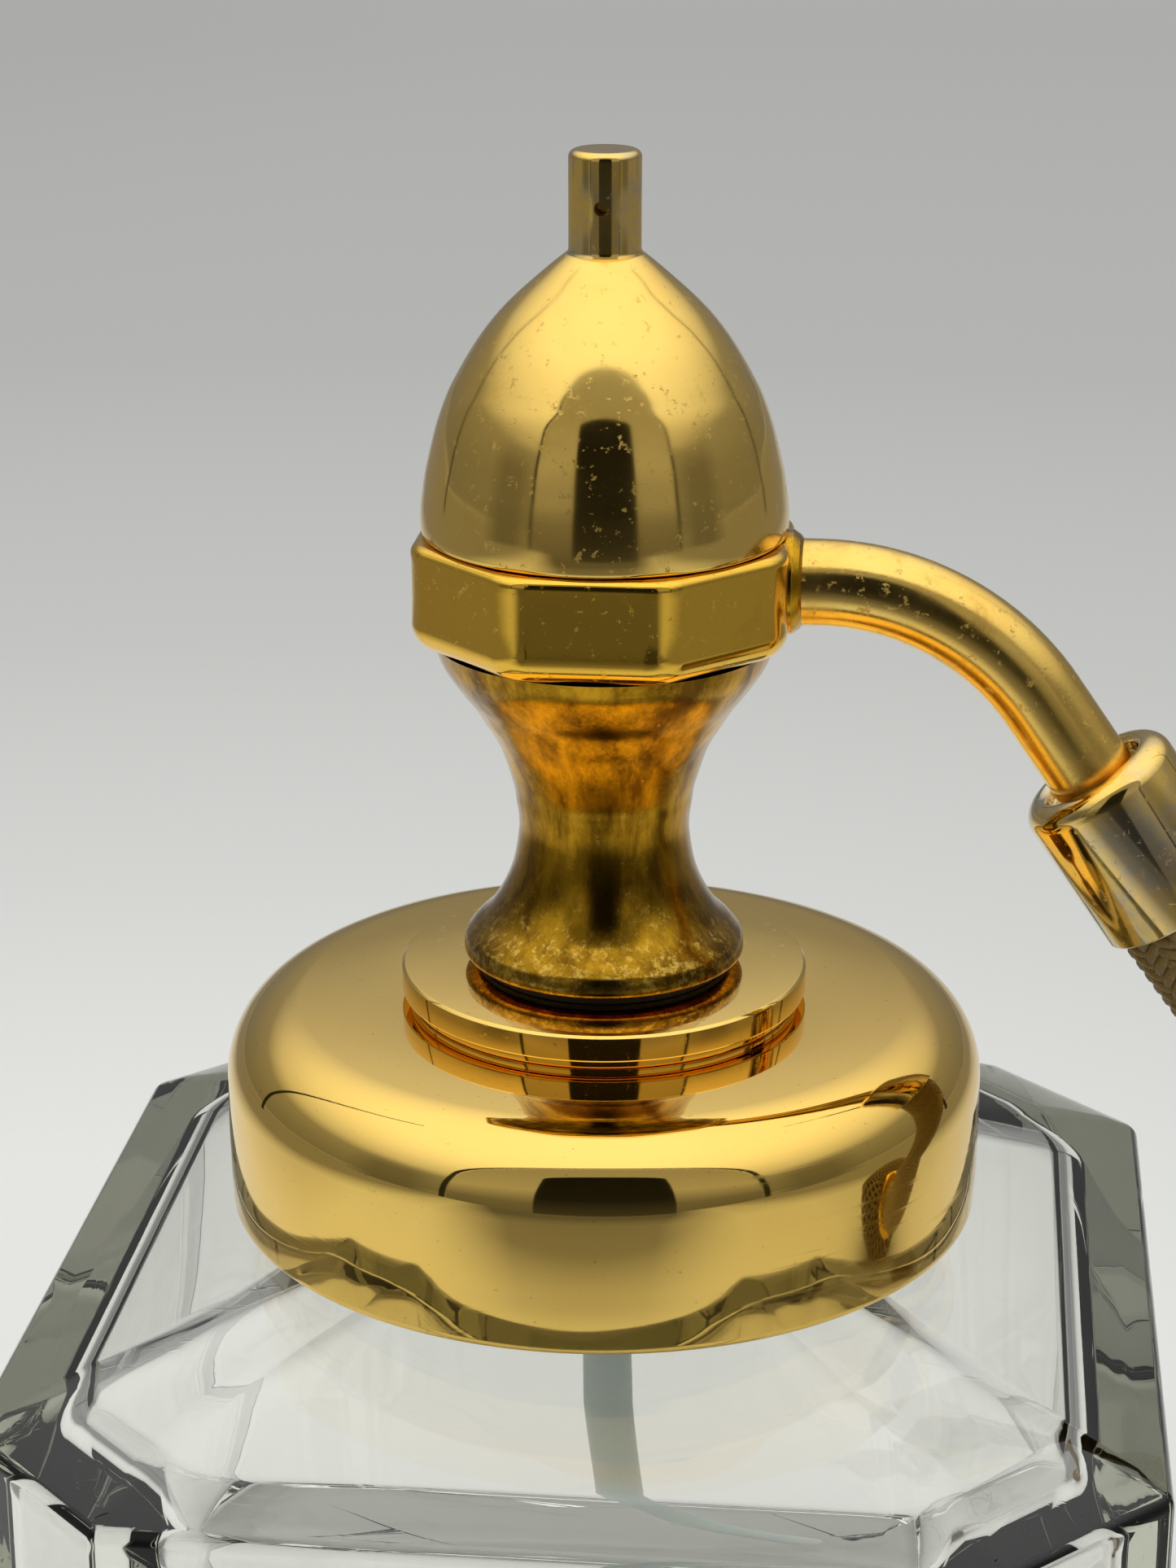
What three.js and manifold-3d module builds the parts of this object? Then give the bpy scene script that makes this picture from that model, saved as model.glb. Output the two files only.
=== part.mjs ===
// Squeeze-bulb atomizer perfume bottle: a faceted glass bottle with a wide metal cap, a screw-in
// spray head on a waisted stem, and a braided hose to a netted rubber bulb that lies beside it.
//
// Millimetres, +Z up. The origin is the centre of the bottle's base, on the surface it stands on.
// The spray leaves towards -Y, and the air tube leaves the head towards +X.

import * as THREE from "three";
import { ConvexGeometry } from "three/addons/geometries/ConvexGeometry.js";
import { mergeVertices } from "three/addons/utils/BufferGeometryUtils.js";
import Module from "manifold-3d";

const wasm = await Module();
wasm.setup();

// ---------------------------------------------------------------- driving dimensions

const GAP = 0.3; // clearance kept between pieces that touch or slide

// Glass bottle: a square plan with cut corners
const BOTTLE_HALF = 33.5;
const CORNER_LEG = 9.5; // how much of each side the cut corner takes
const BASE_BEVEL = 1;
const SHOULDER_Z = 52; // outer edge of the shoulder
const EDGE_ROUND = 0.7; // softening of that edge
const SHOULDER_RIM = { r: 21.2, z: 57.4 }; // where the cut corners' creases die out, under the cap
const SHOULDER_TOP = { r: 13, z: 59.4 };
const NECK_R = 12;
const NECK_BORE_R = 8.4;
const LIP_Z = 66.5;
const CAVITY_HALF = 28.5;
const CAVITY_LEG = 8.2;
const CAVITY_FLOOR_Z = 7;

// Cap
const CAP_R = 22.5;
const CAP_RIM_R = 22.3;
const CAP_RIM_Z = 57.9;
const CAP_TOP_Z = 70.2;
const CAP_ROUND = 4.4;
const CAP_WALL = 1.1;
const CAP_PLATE = 0.8; // thickness of the flat top
const CAP_HOLE_R = 6.5;
const LINER_TOP_Z = 65.8;

// Threaded plug in the neck, and the collar of two discs on the cap
const PLUG_LOW_Z = 60.5;
const PLUG_RIM_Z = 67.9; // underside of the rim that rests on the neck's gasket
const PLUG_RIM_HEIGHT = 1.2;
const PLUG_TOP_Z = 71.1;
const STEP_R = 11.6;
const STEP_HEIGHT = 0.6;
const FLANGE_R = 12;
const FLANGE_Z = 71.4;
const FLANGE_HEIGHT = 1;
const FLANGE_EDGE = 0.3;
const WASHER_R = 7.4;

// Spray head, from the foot up
const FOOT_Z = 73.4;
const WAIST_Z = 81;
const RING_Z = 92.4;
const RING_HEIGHT = 6.2;
const RING_APOTHEM = 10.7;
const RING_EDGE = 0.8;
const DOME_Z = 98.9;
const DOME_TOP_Z = 114.5;
const NOZZLE_R = 2.05;
const NOZZLE_TOP_Z = 120.3;
const ORIFICE_Z = 117.3;
const THREAD_R = 4; // outside radius of the head's screw, cut as a plain cylinder
const SPINDLE_R = 3.6;
const LIQUID_R = 0.7;
const DIP_TUBE_R = 1.5;
const DIP_TUBE_SOCKET_R = 1.8;
const JET_R = 0.75;
const JET_BORE_R = 0.4;
const NUT_R = 6.2; // across the corners
const NUT_HEIGHT = 2.4;

// Air tube, hose and bulb
const TUBE_R = 2.5;
const TUBE_BORE_R = 1.8;
const TUBE_Z = 95.9;
const TUBE_START_STRAIGHT = 1.75;
const TUBE_BEND_R = 15.5;
const TUBE_DROOP = (55 * Math.PI) / 180; // how far the tube bends down from level
const TUBE_END_STRAIGHT = 8;
const TUBE_IN_FERRULE = 3; // how much of the straight end the ferrule takes
const FERRULE_R = 4.7;
const FERRULE_LENGTH = 9.5;
const HOSE_R = 4.15;
const BULB_TILT = (12 * Math.PI) / 180; // the bulb's tail points this far down
const BULB_CENTRE = [132, 0, 20.85];
const BULB_LENGTH = 54;
const BULB_R = 19.5;
const BULB_WALL = 2;
const NET_THICK = 0.6;
const BALL_R = 1.5;
const CHAMBER_R = BALL_R + GAP;

// The hose's centreline in the plane y = 0, as x and z, from inside the ferrule to the bulb
const HOSE_ROUTE = [
  [30.9, 81.1], [34.0, 76.7], [37.2, 72.4], [40.5, 68.1], [43.8, 63.9], [47.3, 59.8],
  [50.9, 55.8], [54.7, 52.0], [58.6, 48.3], [62.7, 44.8], [67.0, 41.6], [71.4, 38.6],
  [76.1, 35.9], [80.9, 33.5], [85.9, 31.5], [91.0, 29.8], [96.2, 28.5],
];

// ---------------------------------------------------------------- materials

function metal(colour, roughness) {
  return new THREE.MeshStandardMaterial({ color: colour, roughness, metalness: 1 });
}

function plain(colour, roughness) {
  return new THREE.MeshStandardMaterial({ color: colour, roughness, metalness: 0 });
}

const GOLD = metal(0xc9a24a, 0.12);
const BRASS = metal(0xb08d48, 0.35);
const STEEL = metal(0xb8b8b8, 0.2);
const BLACK_RUBBER = plain(0x151414, 0.6);
const GREY_RUBBER = plain(0x3a3733, 0.7);
const NATURAL_PLASTIC = plain(0xe9e9e2, 0.35);
const WHITE_PLASTIC = plain(0xe4e2dc, 0.5);
const BRAID = plain(0x5d5231, 0.8);
const GLASS = new THREE.MeshStandardMaterial({
  color: 0xdfe8e6,
  roughness: 0.02,
  metalness: 0,
  transparent: true,
  opacity: 0.35,
});

// ---------------------------------------------------------------- shape helpers

const part = new THREE.Group();

function add(name, geometry, material, parent = part) {
  const mesh = new THREE.Mesh(geometry, material);
  mesh.name = name;
  parent.add(mesh);
  return mesh;
}

// Turns a closed or axis-to-axis profile of [radius, height] points about +Z.
// Points run up the outside first, so that the faces point outwards.
function turned(profile, segments = 32) {
  const points = profile.map(([r, z]) => new THREE.Vector2(r, z));
  return new THREE.LatheGeometry(points, segments).rotateX(Math.PI / 2);
}

// A ring, sleeve or washer of rectangular section.
function sleeve(inner, outer, low, high, segments = 32) {
  return turned([[inner, low], [outer, low], [outer, high], [inner, high], [inner, low]], segments);
}

function rod(radius, low, high, segments = 24) {
  return turned([[0, low], [radius, low], [radius, high], [0, high]], segments);
}

// Points along a smooth outline through a few chosen [radius, height] points.
function smooth(points, count) {
  const curve = new THREE.SplineCurve(points.map(([r, z]) => new THREE.Vector2(r, z)));
  return curve.getPoints(count).map((p) => [p.x, p.y]);
}

// Points of an arc in the profile's plane, from one angle to another.
function arc(radius, centre, from, to, count) {
  return Array.from({ length: count + 1 }, (_, i) => {
    const angle = from + ((to - from) * i) / count;
    return [centre[0] + radius * Math.cos(angle), centre[1] + radius * Math.sin(angle)];
  });
}

// Points of an ellipse along the profile's height, where its radius is at least `open` at each end.
function ellipse(halfLength, radius, open, count) {
  const [front, back] = open.map((r) => Math.acos(r / radius));
  return Array.from({ length: count + 1 }, (_, i) => {
    const angle = -front + ((front + back) * i) / count;
    return [radius * Math.cos(angle), halfLength * Math.sin(angle)];
  });
}

function solid(geometry) {
  const bare = geometry.index ? geometry.toNonIndexed() : geometry.clone();
  bare.deleteAttribute("normal");
  bare.deleteAttribute("uv");
  const merged = mergeVertices(bare, 1e-4);
  return new wasm.Manifold(new wasm.Mesh({
    numProp: 3,
    vertProperties: new Float32Array(merged.attributes.position.array),
    triVerts: new Uint32Array(merged.index.array),
  }));
}

function geometryOf(manifold) {
  const mesh = manifold.getMesh();
  const geometry = new THREE.BufferGeometry();
  geometry.setAttribute("position", new THREE.BufferAttribute(mesh.vertProperties, 3));
  geometry.setIndex(new THREE.BufferAttribute(mesh.triVerts, 1));
  return geometry;
}

function cut(from, ...tools) {
  return geometryOf(tools.reduce((left, tool) => left.subtract(solid(tool)), solid(from)));
}

// A square outline with cut corners, at one height.
function cutSquare(half, leg, z) {
  const near = half - leg;
  const corner = [[half, near], [near, half], [-near, half], [-half, near]];
  return [...corner, ...corner.map(([x, y]) => [-x, -y])].map(([x, y]) => new THREE.Vector3(x, y, z));
}

// Points round a circle, at one height.
function circle(radius, z, count = 36) {
  return Array.from({ length: count }, (_, i) => {
    const angle = (2 * Math.PI * i) / count;
    return new THREE.Vector3(radius * Math.cos(angle), radius * Math.sin(angle), z);
  });
}

// ---------------------------------------------------------------- bottle and cap

function bottleGeometry() {
  const outside = new ConvexGeometry([
    ...cutSquare(BOTTLE_HALF - BASE_BEVEL, CORNER_LEG - BASE_BEVEL / 2, 0),
    ...cutSquare(BOTTLE_HALF, CORNER_LEG, BASE_BEVEL),
    ...cutSquare(BOTTLE_HALF, CORNER_LEG, SHOULDER_Z - EDGE_ROUND),
    ...cutSquare(BOTTLE_HALF - EDGE_ROUND, CORNER_LEG - EDGE_ROUND / 2, SHOULDER_Z),
    ...circle(SHOULDER_RIM.r, SHOULDER_RIM.z),
    ...circle(SHOULDER_TOP.r, SHOULDER_TOP.z),
  ]);
  const neck = rod(NECK_R, SHOULDER_TOP.z - 2, LIP_Z, 48);
  const cavity = new ConvexGeometry([
    ...cutSquare(CAVITY_HALF - 2.5, CAVITY_LEG - 1.5, CAVITY_FLOOR_Z),
    ...cutSquare(CAVITY_HALF, CAVITY_LEG, CAVITY_FLOOR_Z + 2),
    ...cutSquare(CAVITY_HALF, CAVITY_LEG, SHOULDER_Z - 4.5),
    ...cutSquare(CAVITY_HALF - 3, CAVITY_LEG - 1.8, SHOULDER_Z - 0.9),
    ...circle(NECK_BORE_R, SHOULDER_TOP.z - 2.4),
  ]);
  const bore = rod(NECK_BORE_R, SHOULDER_Z, LIP_Z + 1, 32);
  return geometryOf(solid(outside).add(solid(neck)).subtract(solid(cavity)).subtract(solid(bore)));
}

function capGeometry() {
  const roundCentre = [CAP_R - CAP_ROUND, CAP_TOP_Z - CAP_ROUND];
  const inside = CAP_R - CAP_WALL;
  return turned([
    [CAP_RIM_R - CAP_WALL, CAP_RIM_Z],
    [CAP_RIM_R, CAP_RIM_Z],
    ...arc(CAP_ROUND, roundCentre, 0, Math.PI / 2, 6),
    [CAP_HOLE_R, CAP_TOP_Z],
    [CAP_HOLE_R, CAP_TOP_Z - CAP_PLATE],
    [roundCentre[0], CAP_TOP_Z - CAP_PLATE],
    [inside, roundCentre[1]],
    [CAP_RIM_R - CAP_WALL, CAP_RIM_Z],
  ], 60);
}

// The plug hangs in the neck by its rim, and its top comes up through the cap's hole.
function plugGeometry() {
  const thread = THREAD_R + GAP;
  const body = NECK_BORE_R - GAP;
  const rim = NECK_R - GAP;
  const rimTop = PLUG_RIM_Z + PLUG_RIM_HEIGHT;
  const boss = CAP_HOLE_R - GAP;
  return turned([
    [thread, PLUG_LOW_Z],
    [body, PLUG_LOW_Z],
    [body, PLUG_RIM_Z],
    [rim, PLUG_RIM_Z],
    [rim, rimTop],
    [boss, rimTop],
    [boss, PLUG_TOP_Z],
    [thread, PLUG_TOP_Z],
    [thread, PLUG_LOW_Z],
  ]);
}

function flangeGeometry() {
  const thread = THREAD_R + GAP;
  const top = FLANGE_Z + FLANGE_HEIGHT;
  return turned([
    [thread, FLANGE_Z],
    [FLANGE_R - FLANGE_EDGE, FLANGE_Z],
    [FLANGE_R, FLANGE_Z + FLANGE_EDGE],
    [FLANGE_R, top - FLANGE_EDGE],
    [FLANGE_R - FLANGE_EDGE, top],
    [thread, top],
    [thread, FLANGE_Z],
  ], 48);
}

function addBottle() {
  add("glass_bottle", bottleGeometry(), GLASS);
  add("cap_shell", capGeometry(), GOLD);
  const linerR = CAP_R - CAP_WALL - 0.8;
  const liner = sleeve(NECK_R + GAP, linerR, SHOULDER_TOP.z + 0.4, LINER_TOP_Z, 48);
  add("cap_liner", liner, WHITE_PLASTIC);
  const gasket = sleeve(NECK_BORE_R + GAP, NECK_R - GAP, LIP_Z + GAP, PLUG_RIM_Z - GAP);
  add("neck_gasket", gasket, GREY_RUBBER);
  add("neck_plug", plugGeometry(), BRASS);
  const stepLow = CAP_TOP_Z + GAP;
  add("collar_step", sleeve(CAP_HOLE_R, STEP_R, stepLow, stepLow + STEP_HEIGHT, 48), GOLD);
  add("collar_flange", flangeGeometry(), GOLD);
  const washerLow = FLANGE_Z + FLANGE_HEIGHT + GAP;
  add("seal_washer", sleeve(THREAD_R + GAP, WASHER_R, washerLow, FOOT_Z - GAP, 40), BLACK_RUBBER);
}

// ---------------------------------------------------------------- spray head

function stemGeometry() {
  const bore = SPINDLE_R + GAP;
  const outline = smooth([
    [8.3, FOOT_Z + 0.5],
    [6.75, FOOT_Z + 2.2],
    [5.4, WAIST_Z - 2.8],
    [5, WAIST_Z],
    [5.3, WAIST_Z + 2.6],
    [6.4, WAIST_Z + 5.5],
    [8, WAIST_Z + 8.1],
    [9.5, RING_Z - GAP],
  ], 12);
  return turned([[bore, FOOT_Z], [8.3, FOOT_Z], ...outline, [bore, RING_Z - GAP], [bore, FOOT_Z]], 36);
}

// The turned spindle: screw at the bottom, then the air and liquid passages up to the dome.
function spindleGeometry() {
  const low = PLUG_LOW_Z + 0.1;
  const socketTop = low + 3.2;
  const airTop = DOME_Z + 3.1;
  const airFloor = RING_Z + 1;
  const airR = 1.7;
  const body = turned([
    [DIP_TUBE_SOCKET_R, low],
    [THREAD_R, low],
    [THREAD_R, FOOT_Z - GAP],
    [SPINDLE_R, FOOT_Z - GAP],
    [SPINDLE_R, airTop],
    [airR, airTop],
    [airR, airFloor],
    [LIQUID_R + GAP, airFloor],
    [LIQUID_R + GAP, socketTop],
    [DIP_TUBE_SOCKET_R, socketTop],
    [DIP_TUBE_SOCKET_R, low],
  ], 24);
  const port = rod(1.1, 0.5, SPINDLE_R + 1, 12).rotateY(Math.PI / 2).translate(0, 0, TUBE_Z);
  return cut(body, port);
}

// An upright octagonal ring with softened facet edges; a facet faces each way along X and Y.
function ringGeometry() {
  const corner = (RING_APOTHEM - RING_EDGE) / Math.cos(Math.PI / 8);
  const outline = new THREE.Shape(Array.from({ length: 8 }, (_, i) => {
    const angle = ((i + 0.5) * Math.PI) / 4;
    return new THREE.Vector2(corner * Math.cos(angle), corner * Math.sin(angle));
  }));
  const block = new THREE.ExtrudeGeometry(outline, {
    depth: RING_HEIGHT - 2 * RING_EDGE,
    bevelEnabled: true,
    bevelSize: RING_EDGE,
    bevelThickness: RING_EDGE,
    bevelSegments: 3,
  }).translate(0, 0, RING_Z + RING_EDGE);
  const bore = rod(SPINDLE_R + GAP, RING_Z - 1, RING_Z + RING_HEIGHT + 1);
  const port = rod(TUBE_R + GAP, 2, RING_APOTHEM + 1).rotateY(Math.PI / 2).translate(0, 0, TUBE_Z);
  return cut(block, bore, port);
}

function domeGeometry() {
  const top = DOME_TOP_Z;
  const outside = smooth([
    [10.5, DOME_Z],
    [10.4, DOME_Z + 1.8],
    [10, top - 11.5],
    [9.2, top - 8.7],
    [7.85, top - 5.9],
    [5.75, top - 3.1],
    [3.8, top - 1.3],
    [NOZZLE_R, top],
  ], 11);
  const inside = smooth([
    [1.2, top - 2.4],
    [4.6, top - 4.2],
    [7.9, top - 9],
    [9, DOME_Z],
  ], 5);
  return turned([...outside, [1.2, top], ...inside, outside[0]], 40);
}

function nozzleGeometry() {
  const tip = turned([
    [LIQUID_R + GAP, DOME_TOP_Z + GAP],
    [NOZZLE_R, DOME_TOP_Z + GAP],
    [NOZZLE_R, NOZZLE_TOP_Z - 0.33],
    [NOZZLE_R - 0.1, NOZZLE_TOP_Z - 0.1],
    [NOZZLE_R - 0.33, NOZZLE_TOP_Z],
    [0, NOZZLE_TOP_Z],
    [0, ORIFICE_Z + 1],
    [LIQUID_R + GAP, ORIFICE_Z + 1],
    [LIQUID_R + GAP, DOME_TOP_Z + GAP],
  ], 28);
  const side = rod(JET_R + GAP / 2, 0.4, NOZZLE_R + 1, 16).rotateX(Math.PI / 2).translate(0, 0, ORIFICE_Z);
  return cut(tip, side);
}

function dipTubeGeometry() {
  const top = PLUG_LOW_Z + 3;
  const path = new THREE.CatmullRomCurve3([
    new THREE.Vector3(0, 0, top),
    new THREE.Vector3(0, 0, 56),
    new THREE.Vector3(0.2, 0, 48),
    new THREE.Vector3(0.8, 0, 38),
    new THREE.Vector3(2.2, 0, 27),
    new THREE.Vector3(6.2, 0, 16.5),
    new THREE.Vector3(12.5, 0, 9.6),
  ]);
  const section = new THREE.Shape().absarc(0, 0, DIP_TUBE_R, 0, 2 * Math.PI);
  section.holes.push(new THREE.Path().absarc(0, 0, LIQUID_R + GAP, 0, 2 * Math.PI));
  return new THREE.ExtrudeGeometry(section, { extrudePath: path, steps: 12, curveSegments: 5 });
}

function addHead() {
  add("stem", stemGeometry(), GOLD);
  add("spindle", spindleGeometry(), BRASS);
  add("octagon_ring", ringGeometry(), GOLD);
  const nut = new THREE.CylinderGeometry(NUT_R, NUT_R, NUT_HEIGHT, 6).rotateX(Math.PI / 2);
  const nutHole = rod(SPINDLE_R + GAP, -NUT_HEIGHT, NUT_HEIGHT);
  add("spindle_nut", cut(nut, nutHole), BRASS).position.z = DOME_Z + 1.4;
  add("dome", domeGeometry(), GOLD);
  add("nozzle_tip", nozzleGeometry(), GOLD);
  const jet = sleeve(JET_BORE_R, JET_R, 1.1, NOZZLE_R - 0.15, 16).rotateX(Math.PI / 2);
  add("spray_jet", jet, BRASS).position.z = ORIFICE_Z;
  add("liquid_tube", sleeve(0.35, LIQUID_R, 56, ORIFICE_Z - 1.2, 12), STEEL);
  add("dip_tube", dipTubeGeometry(), NATURAL_PLASTIC);
}

// ---------------------------------------------------------------- air tube and hose

// The air tube's centreline: level out of the ring, a bend down, then straight into the ferrule.
const bendStart = new THREE.Vector3(RING_APOTHEM + TUBE_START_STRAIGHT, 0, TUBE_Z);
const bendEnd = new THREE.Vector3(
  bendStart.x + TUBE_BEND_R * Math.sin(TUBE_DROOP),
  0,
  TUBE_Z - TUBE_BEND_R * (1 - Math.cos(TUBE_DROOP)),
);
const level = new THREE.Vector3(1, 0, 0);
const droop = new THREE.Vector3(Math.cos(TUBE_DROOP), 0, -Math.sin(TUBE_DROOP));
const FERRULE_TOP = bendEnd.clone().addScaledVector(droop, TUBE_END_STRAIGHT - TUBE_IN_FERRULE);

function airTubeGeometry() {
  const reach = (4 / 3) * Math.tan(TUBE_DROOP / 4) * TUBE_BEND_R;
  const path = new THREE.CurvePath();
  path.add(new THREE.LineCurve3(new THREE.Vector3(6, 0, TUBE_Z), bendStart));
  path.add(new THREE.CubicBezierCurve3(
    bendStart,
    bendStart.clone().addScaledVector(level, reach),
    bendEnd.clone().addScaledVector(droop, -reach),
    bendEnd,
  ));
  path.add(new THREE.LineCurve3(bendEnd, bendEnd.clone().addScaledVector(droop, TUBE_END_STRAIGHT)));
  const section = new THREE.Shape().absarc(0, 0, TUBE_R, 0, 2 * Math.PI);
  section.holes.push(new THREE.Path().absarc(0, 0, TUBE_BORE_R, 0, 2 * Math.PI));
  return new THREE.ExtrudeGeometry(section, { extrudePath: path, steps: 14, curveSegments: 7 });
}

function hoseGeometry() {
  const path = new THREE.CatmullRomCurve3(HOSE_ROUTE.map(([x, z]) => new THREE.Vector3(x, 0, z)));
  const section = new THREE.Shape().absarc(0, 0, HOSE_R, 0, 2 * Math.PI);
  return new THREE.ExtrudeGeometry(section, { extrudePath: path, steps: 10, curveSegments: 6 });
}

function addAirLine() {
  add("air_tube", airTubeGeometry(), GOLD);
  const solder = sleeve(TUBE_R + GAP, 3.4, RING_APOTHEM + GAP, RING_APOTHEM + 1.2, 24);
  add("solder_collar", solder.rotateY(Math.PI / 2), GOLD).position.z = TUBE_Z;

  const along = new THREE.Group(); // +Z runs down the ferrule, from its top
  along.position.copy(FERRULE_TOP);
  along.rotation.y = Math.PI / 2 + TUBE_DROOP;
  part.add(along);
  const bore = HOSE_R + GAP;
  add("hose_ferrule", turned([
    [TUBE_R + GAP, 0],
    [FERRULE_R - 0.5, 0],
    [FERRULE_R, 0.5],
    [FERRULE_R, FERRULE_LENGTH - 0.4],
    [FERRULE_R - 0.15, FERRULE_LENGTH],
    [bore, FERRULE_LENGTH],
    [bore, 1],
    [TUBE_R + GAP, 1],
    [TUBE_R + GAP, 0],
  ]), GOLD, along);
  add("hose_barb", turned([
    [TUBE_R + GAP, 1.3],
    [3.9, 1.3],
    [3.4, 2.6],
    [3.9, 2.7],
    [3.2, 4.2],
    [TUBE_R + GAP, 4.2],
    [TUBE_R + GAP, 1.3],
  ], 24), BRASS, along);
  add("hose", hoseGeometry(), BRAID);
}

// ---------------------------------------------------------------- bulb and its valves

// A rubber shell between two ellipses, with a neck at the hose end and a hole at the tail.
function bulbGeometry() {
  const end = -BULB_LENGTH / 2 - 6;
  const outer = ellipse(BULB_LENGTH / 2, BULB_R, [5.2, 4.4], 12);
  const inner = ellipse(BULB_LENGTH / 2 - BULB_WALL, BULB_R - BULB_WALL, [3.4, 4.4], 8);
  return turned([[3.4, end], [5.2, end], ...outer, ...inner.reverse(), [3.4, end]], 28);
}

function netGeometry() {
  const inside = BULB_LENGTH / 2 + GAP;
  const outer = ellipse(inside + NET_THICK, BULB_R + GAP + NET_THICK, [6, 6], 12);
  const inner = ellipse(inside, BULB_R + GAP, [6, 6], 12);
  return turned([...outer, ...inner.reverse(), outer[0]], 28);
}

// A valve body turned about its flow axis: a ball chamber with a small seat hole at its `seat` end.
function valveProfile(outer, low, high, chamberLow, chamberHigh) {
  const hole = 0.9;
  return [
    [hole, low], [outer, low], [outer, high], [hole, high], [hole, chamberHigh],
    [CHAMBER_R, chamberHigh], [CHAMBER_R, chamberLow], [hole, chamberLow], [hole, low],
  ];
}

function addBulb() {
  const along = new THREE.Group(); // +Z runs from the hose to the bulb's tail, from its centre
  along.position.set(...BULB_CENTRE);
  along.rotation.y = Math.PI / 2 + BULB_TILT;
  part.add(along);
  add("bulb", bulbGeometry(), GREY_RUBBER, along);
  add("bulb_net", netGeometry(), BRAID, along);

  const neckTop = -33.6;
  add("neck_ferrule", turned([
    [HOSE_R + GAP, neckTop - 7.4],
    [6, neckTop - 7.4],
    [6.4, neckTop - 7],
    [6.4, neckTop + 6],
    [5.5, neckTop + 6],
    [5.5, neckTop],
    [HOSE_R + GAP, neckTop],
    [HOSE_R + GAP, neckTop - 7.4],
  ]), BRASS, along);
  add("outlet_valve_body", turned(valveProfile(3.1, -36.2, -27, -34, -29.3), 24), BRASS, along);
  const ball = new THREE.SphereGeometry(BALL_R, 12, 8);
  add("outlet_valve_ball", ball, STEEL, along).position.z = -31;

  const tail = BULB_LENGTH / 2;
  const inlet = turned([
    [0.9, tail - 6],
    [4.1, tail - 6],
    [4.1, tail + 1.2],
    [6.5, tail + 1.2],
    [6.5, tail + 2.4],
    [0.9, tail + 2.4],
    [0.9, tail + 1],
    [CHAMBER_R, tail + 1],
    [CHAMBER_R, tail - 4],
    [0.9, tail - 4],
    [0.9, tail - 6],
  ]);
  add("inlet_valve_body", inlet, BRASS, along);
  add("inlet_valve_cap", turned([
    [1, tail + 2.7],
    [5.5, tail + 2.7],
    [5.5, tail + 5],
    [4.6, tail + 6],
    [1, tail + 6],
    [1, tail + 2.7],
  ]), BRASS, along);
  add("inlet_valve_ball", ball.clone(), STEEL, along).position.z = tail - 0.7;
}

addBottle();
addHead();
addAirLine();
addBulb();

export default part;
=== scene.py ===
"""Looks for the squeeze-bulb atomizer: a faceted glass bottle, a mirror-gold cap and spray head,
a braided hose and a netted bulb. Lengths are in millimetres until a mesh or a stage piece is made,
which is in metres."""

import math

import bmesh
import bpy
from mathutils import Matrix, Vector


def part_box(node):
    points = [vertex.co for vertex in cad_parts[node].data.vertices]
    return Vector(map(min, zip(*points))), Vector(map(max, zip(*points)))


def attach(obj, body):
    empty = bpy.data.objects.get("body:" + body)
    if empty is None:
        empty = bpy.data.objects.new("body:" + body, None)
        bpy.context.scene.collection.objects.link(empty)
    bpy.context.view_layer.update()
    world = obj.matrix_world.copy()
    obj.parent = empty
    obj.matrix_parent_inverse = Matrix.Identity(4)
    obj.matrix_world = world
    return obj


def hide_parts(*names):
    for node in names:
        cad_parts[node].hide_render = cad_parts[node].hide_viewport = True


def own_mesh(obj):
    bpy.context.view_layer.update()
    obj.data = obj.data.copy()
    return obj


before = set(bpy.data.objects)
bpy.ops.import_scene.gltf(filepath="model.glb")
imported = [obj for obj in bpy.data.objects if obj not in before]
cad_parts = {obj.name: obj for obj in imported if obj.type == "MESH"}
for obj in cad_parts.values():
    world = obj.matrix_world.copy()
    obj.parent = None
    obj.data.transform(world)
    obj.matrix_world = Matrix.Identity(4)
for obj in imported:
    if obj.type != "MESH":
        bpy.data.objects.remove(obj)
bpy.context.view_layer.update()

MM = 0.001
UP = Vector((0, 0, 1))


# ------------------------------ sizes read from the frame

def low(node):
    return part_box(node)[0].z / MM


def top(node):
    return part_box(node)[1].z / MM


def radius(node):
    """The outside radius of a piece turned about the bottle's axis."""
    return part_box(node)[1].y / MM


def centre(node):
    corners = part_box(node)
    return (corners[0] + corners[1]) / 2 / MM


def link(name, data):
    """A new object in the scene."""
    made = bpy.data.objects.new(name, data)
    bpy.context.scene.collection.objects.link(made)
    return made


# ------------------------------ camera and stage

LENS = 80.1
CAMERA_AZIMUTH = math.radians(6)
CAMERA_ELEVATION = math.radians(19.2)
CAMERA_DISTANCE = 204
CAMERA_SIDE_STEP = -0.95  # the bottle stands a little right of the middle of the picture
LOOK_AT_Z = 83.3


def make_camera():
    a, e = CAMERA_AZIMUTH, CAMERA_ELEVATION
    back = Vector((math.sin(a) * math.cos(e), -math.cos(a) * math.cos(e), math.sin(e)))
    right = Vector((math.cos(a), math.sin(a), 0))
    aim = Vector((0, 0, LOOK_AT_Z)) + CAMERA_SIDE_STEP * right
    data = bpy.data.cameras.new("camera")
    data.lens = LENS
    data.clip_start = 0.01
    data.clip_end = 50
    camera = link("camera", data)
    camera.rotation_mode = "QUATERNION"
    camera.location = (aim + CAMERA_DISTANCE * back) * MM
    camera.rotation_quaternion = (-back).to_track_quat("-Z", "Y")
    bpy.context.scene.camera = camera


# ------------------------------ node materials

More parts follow.
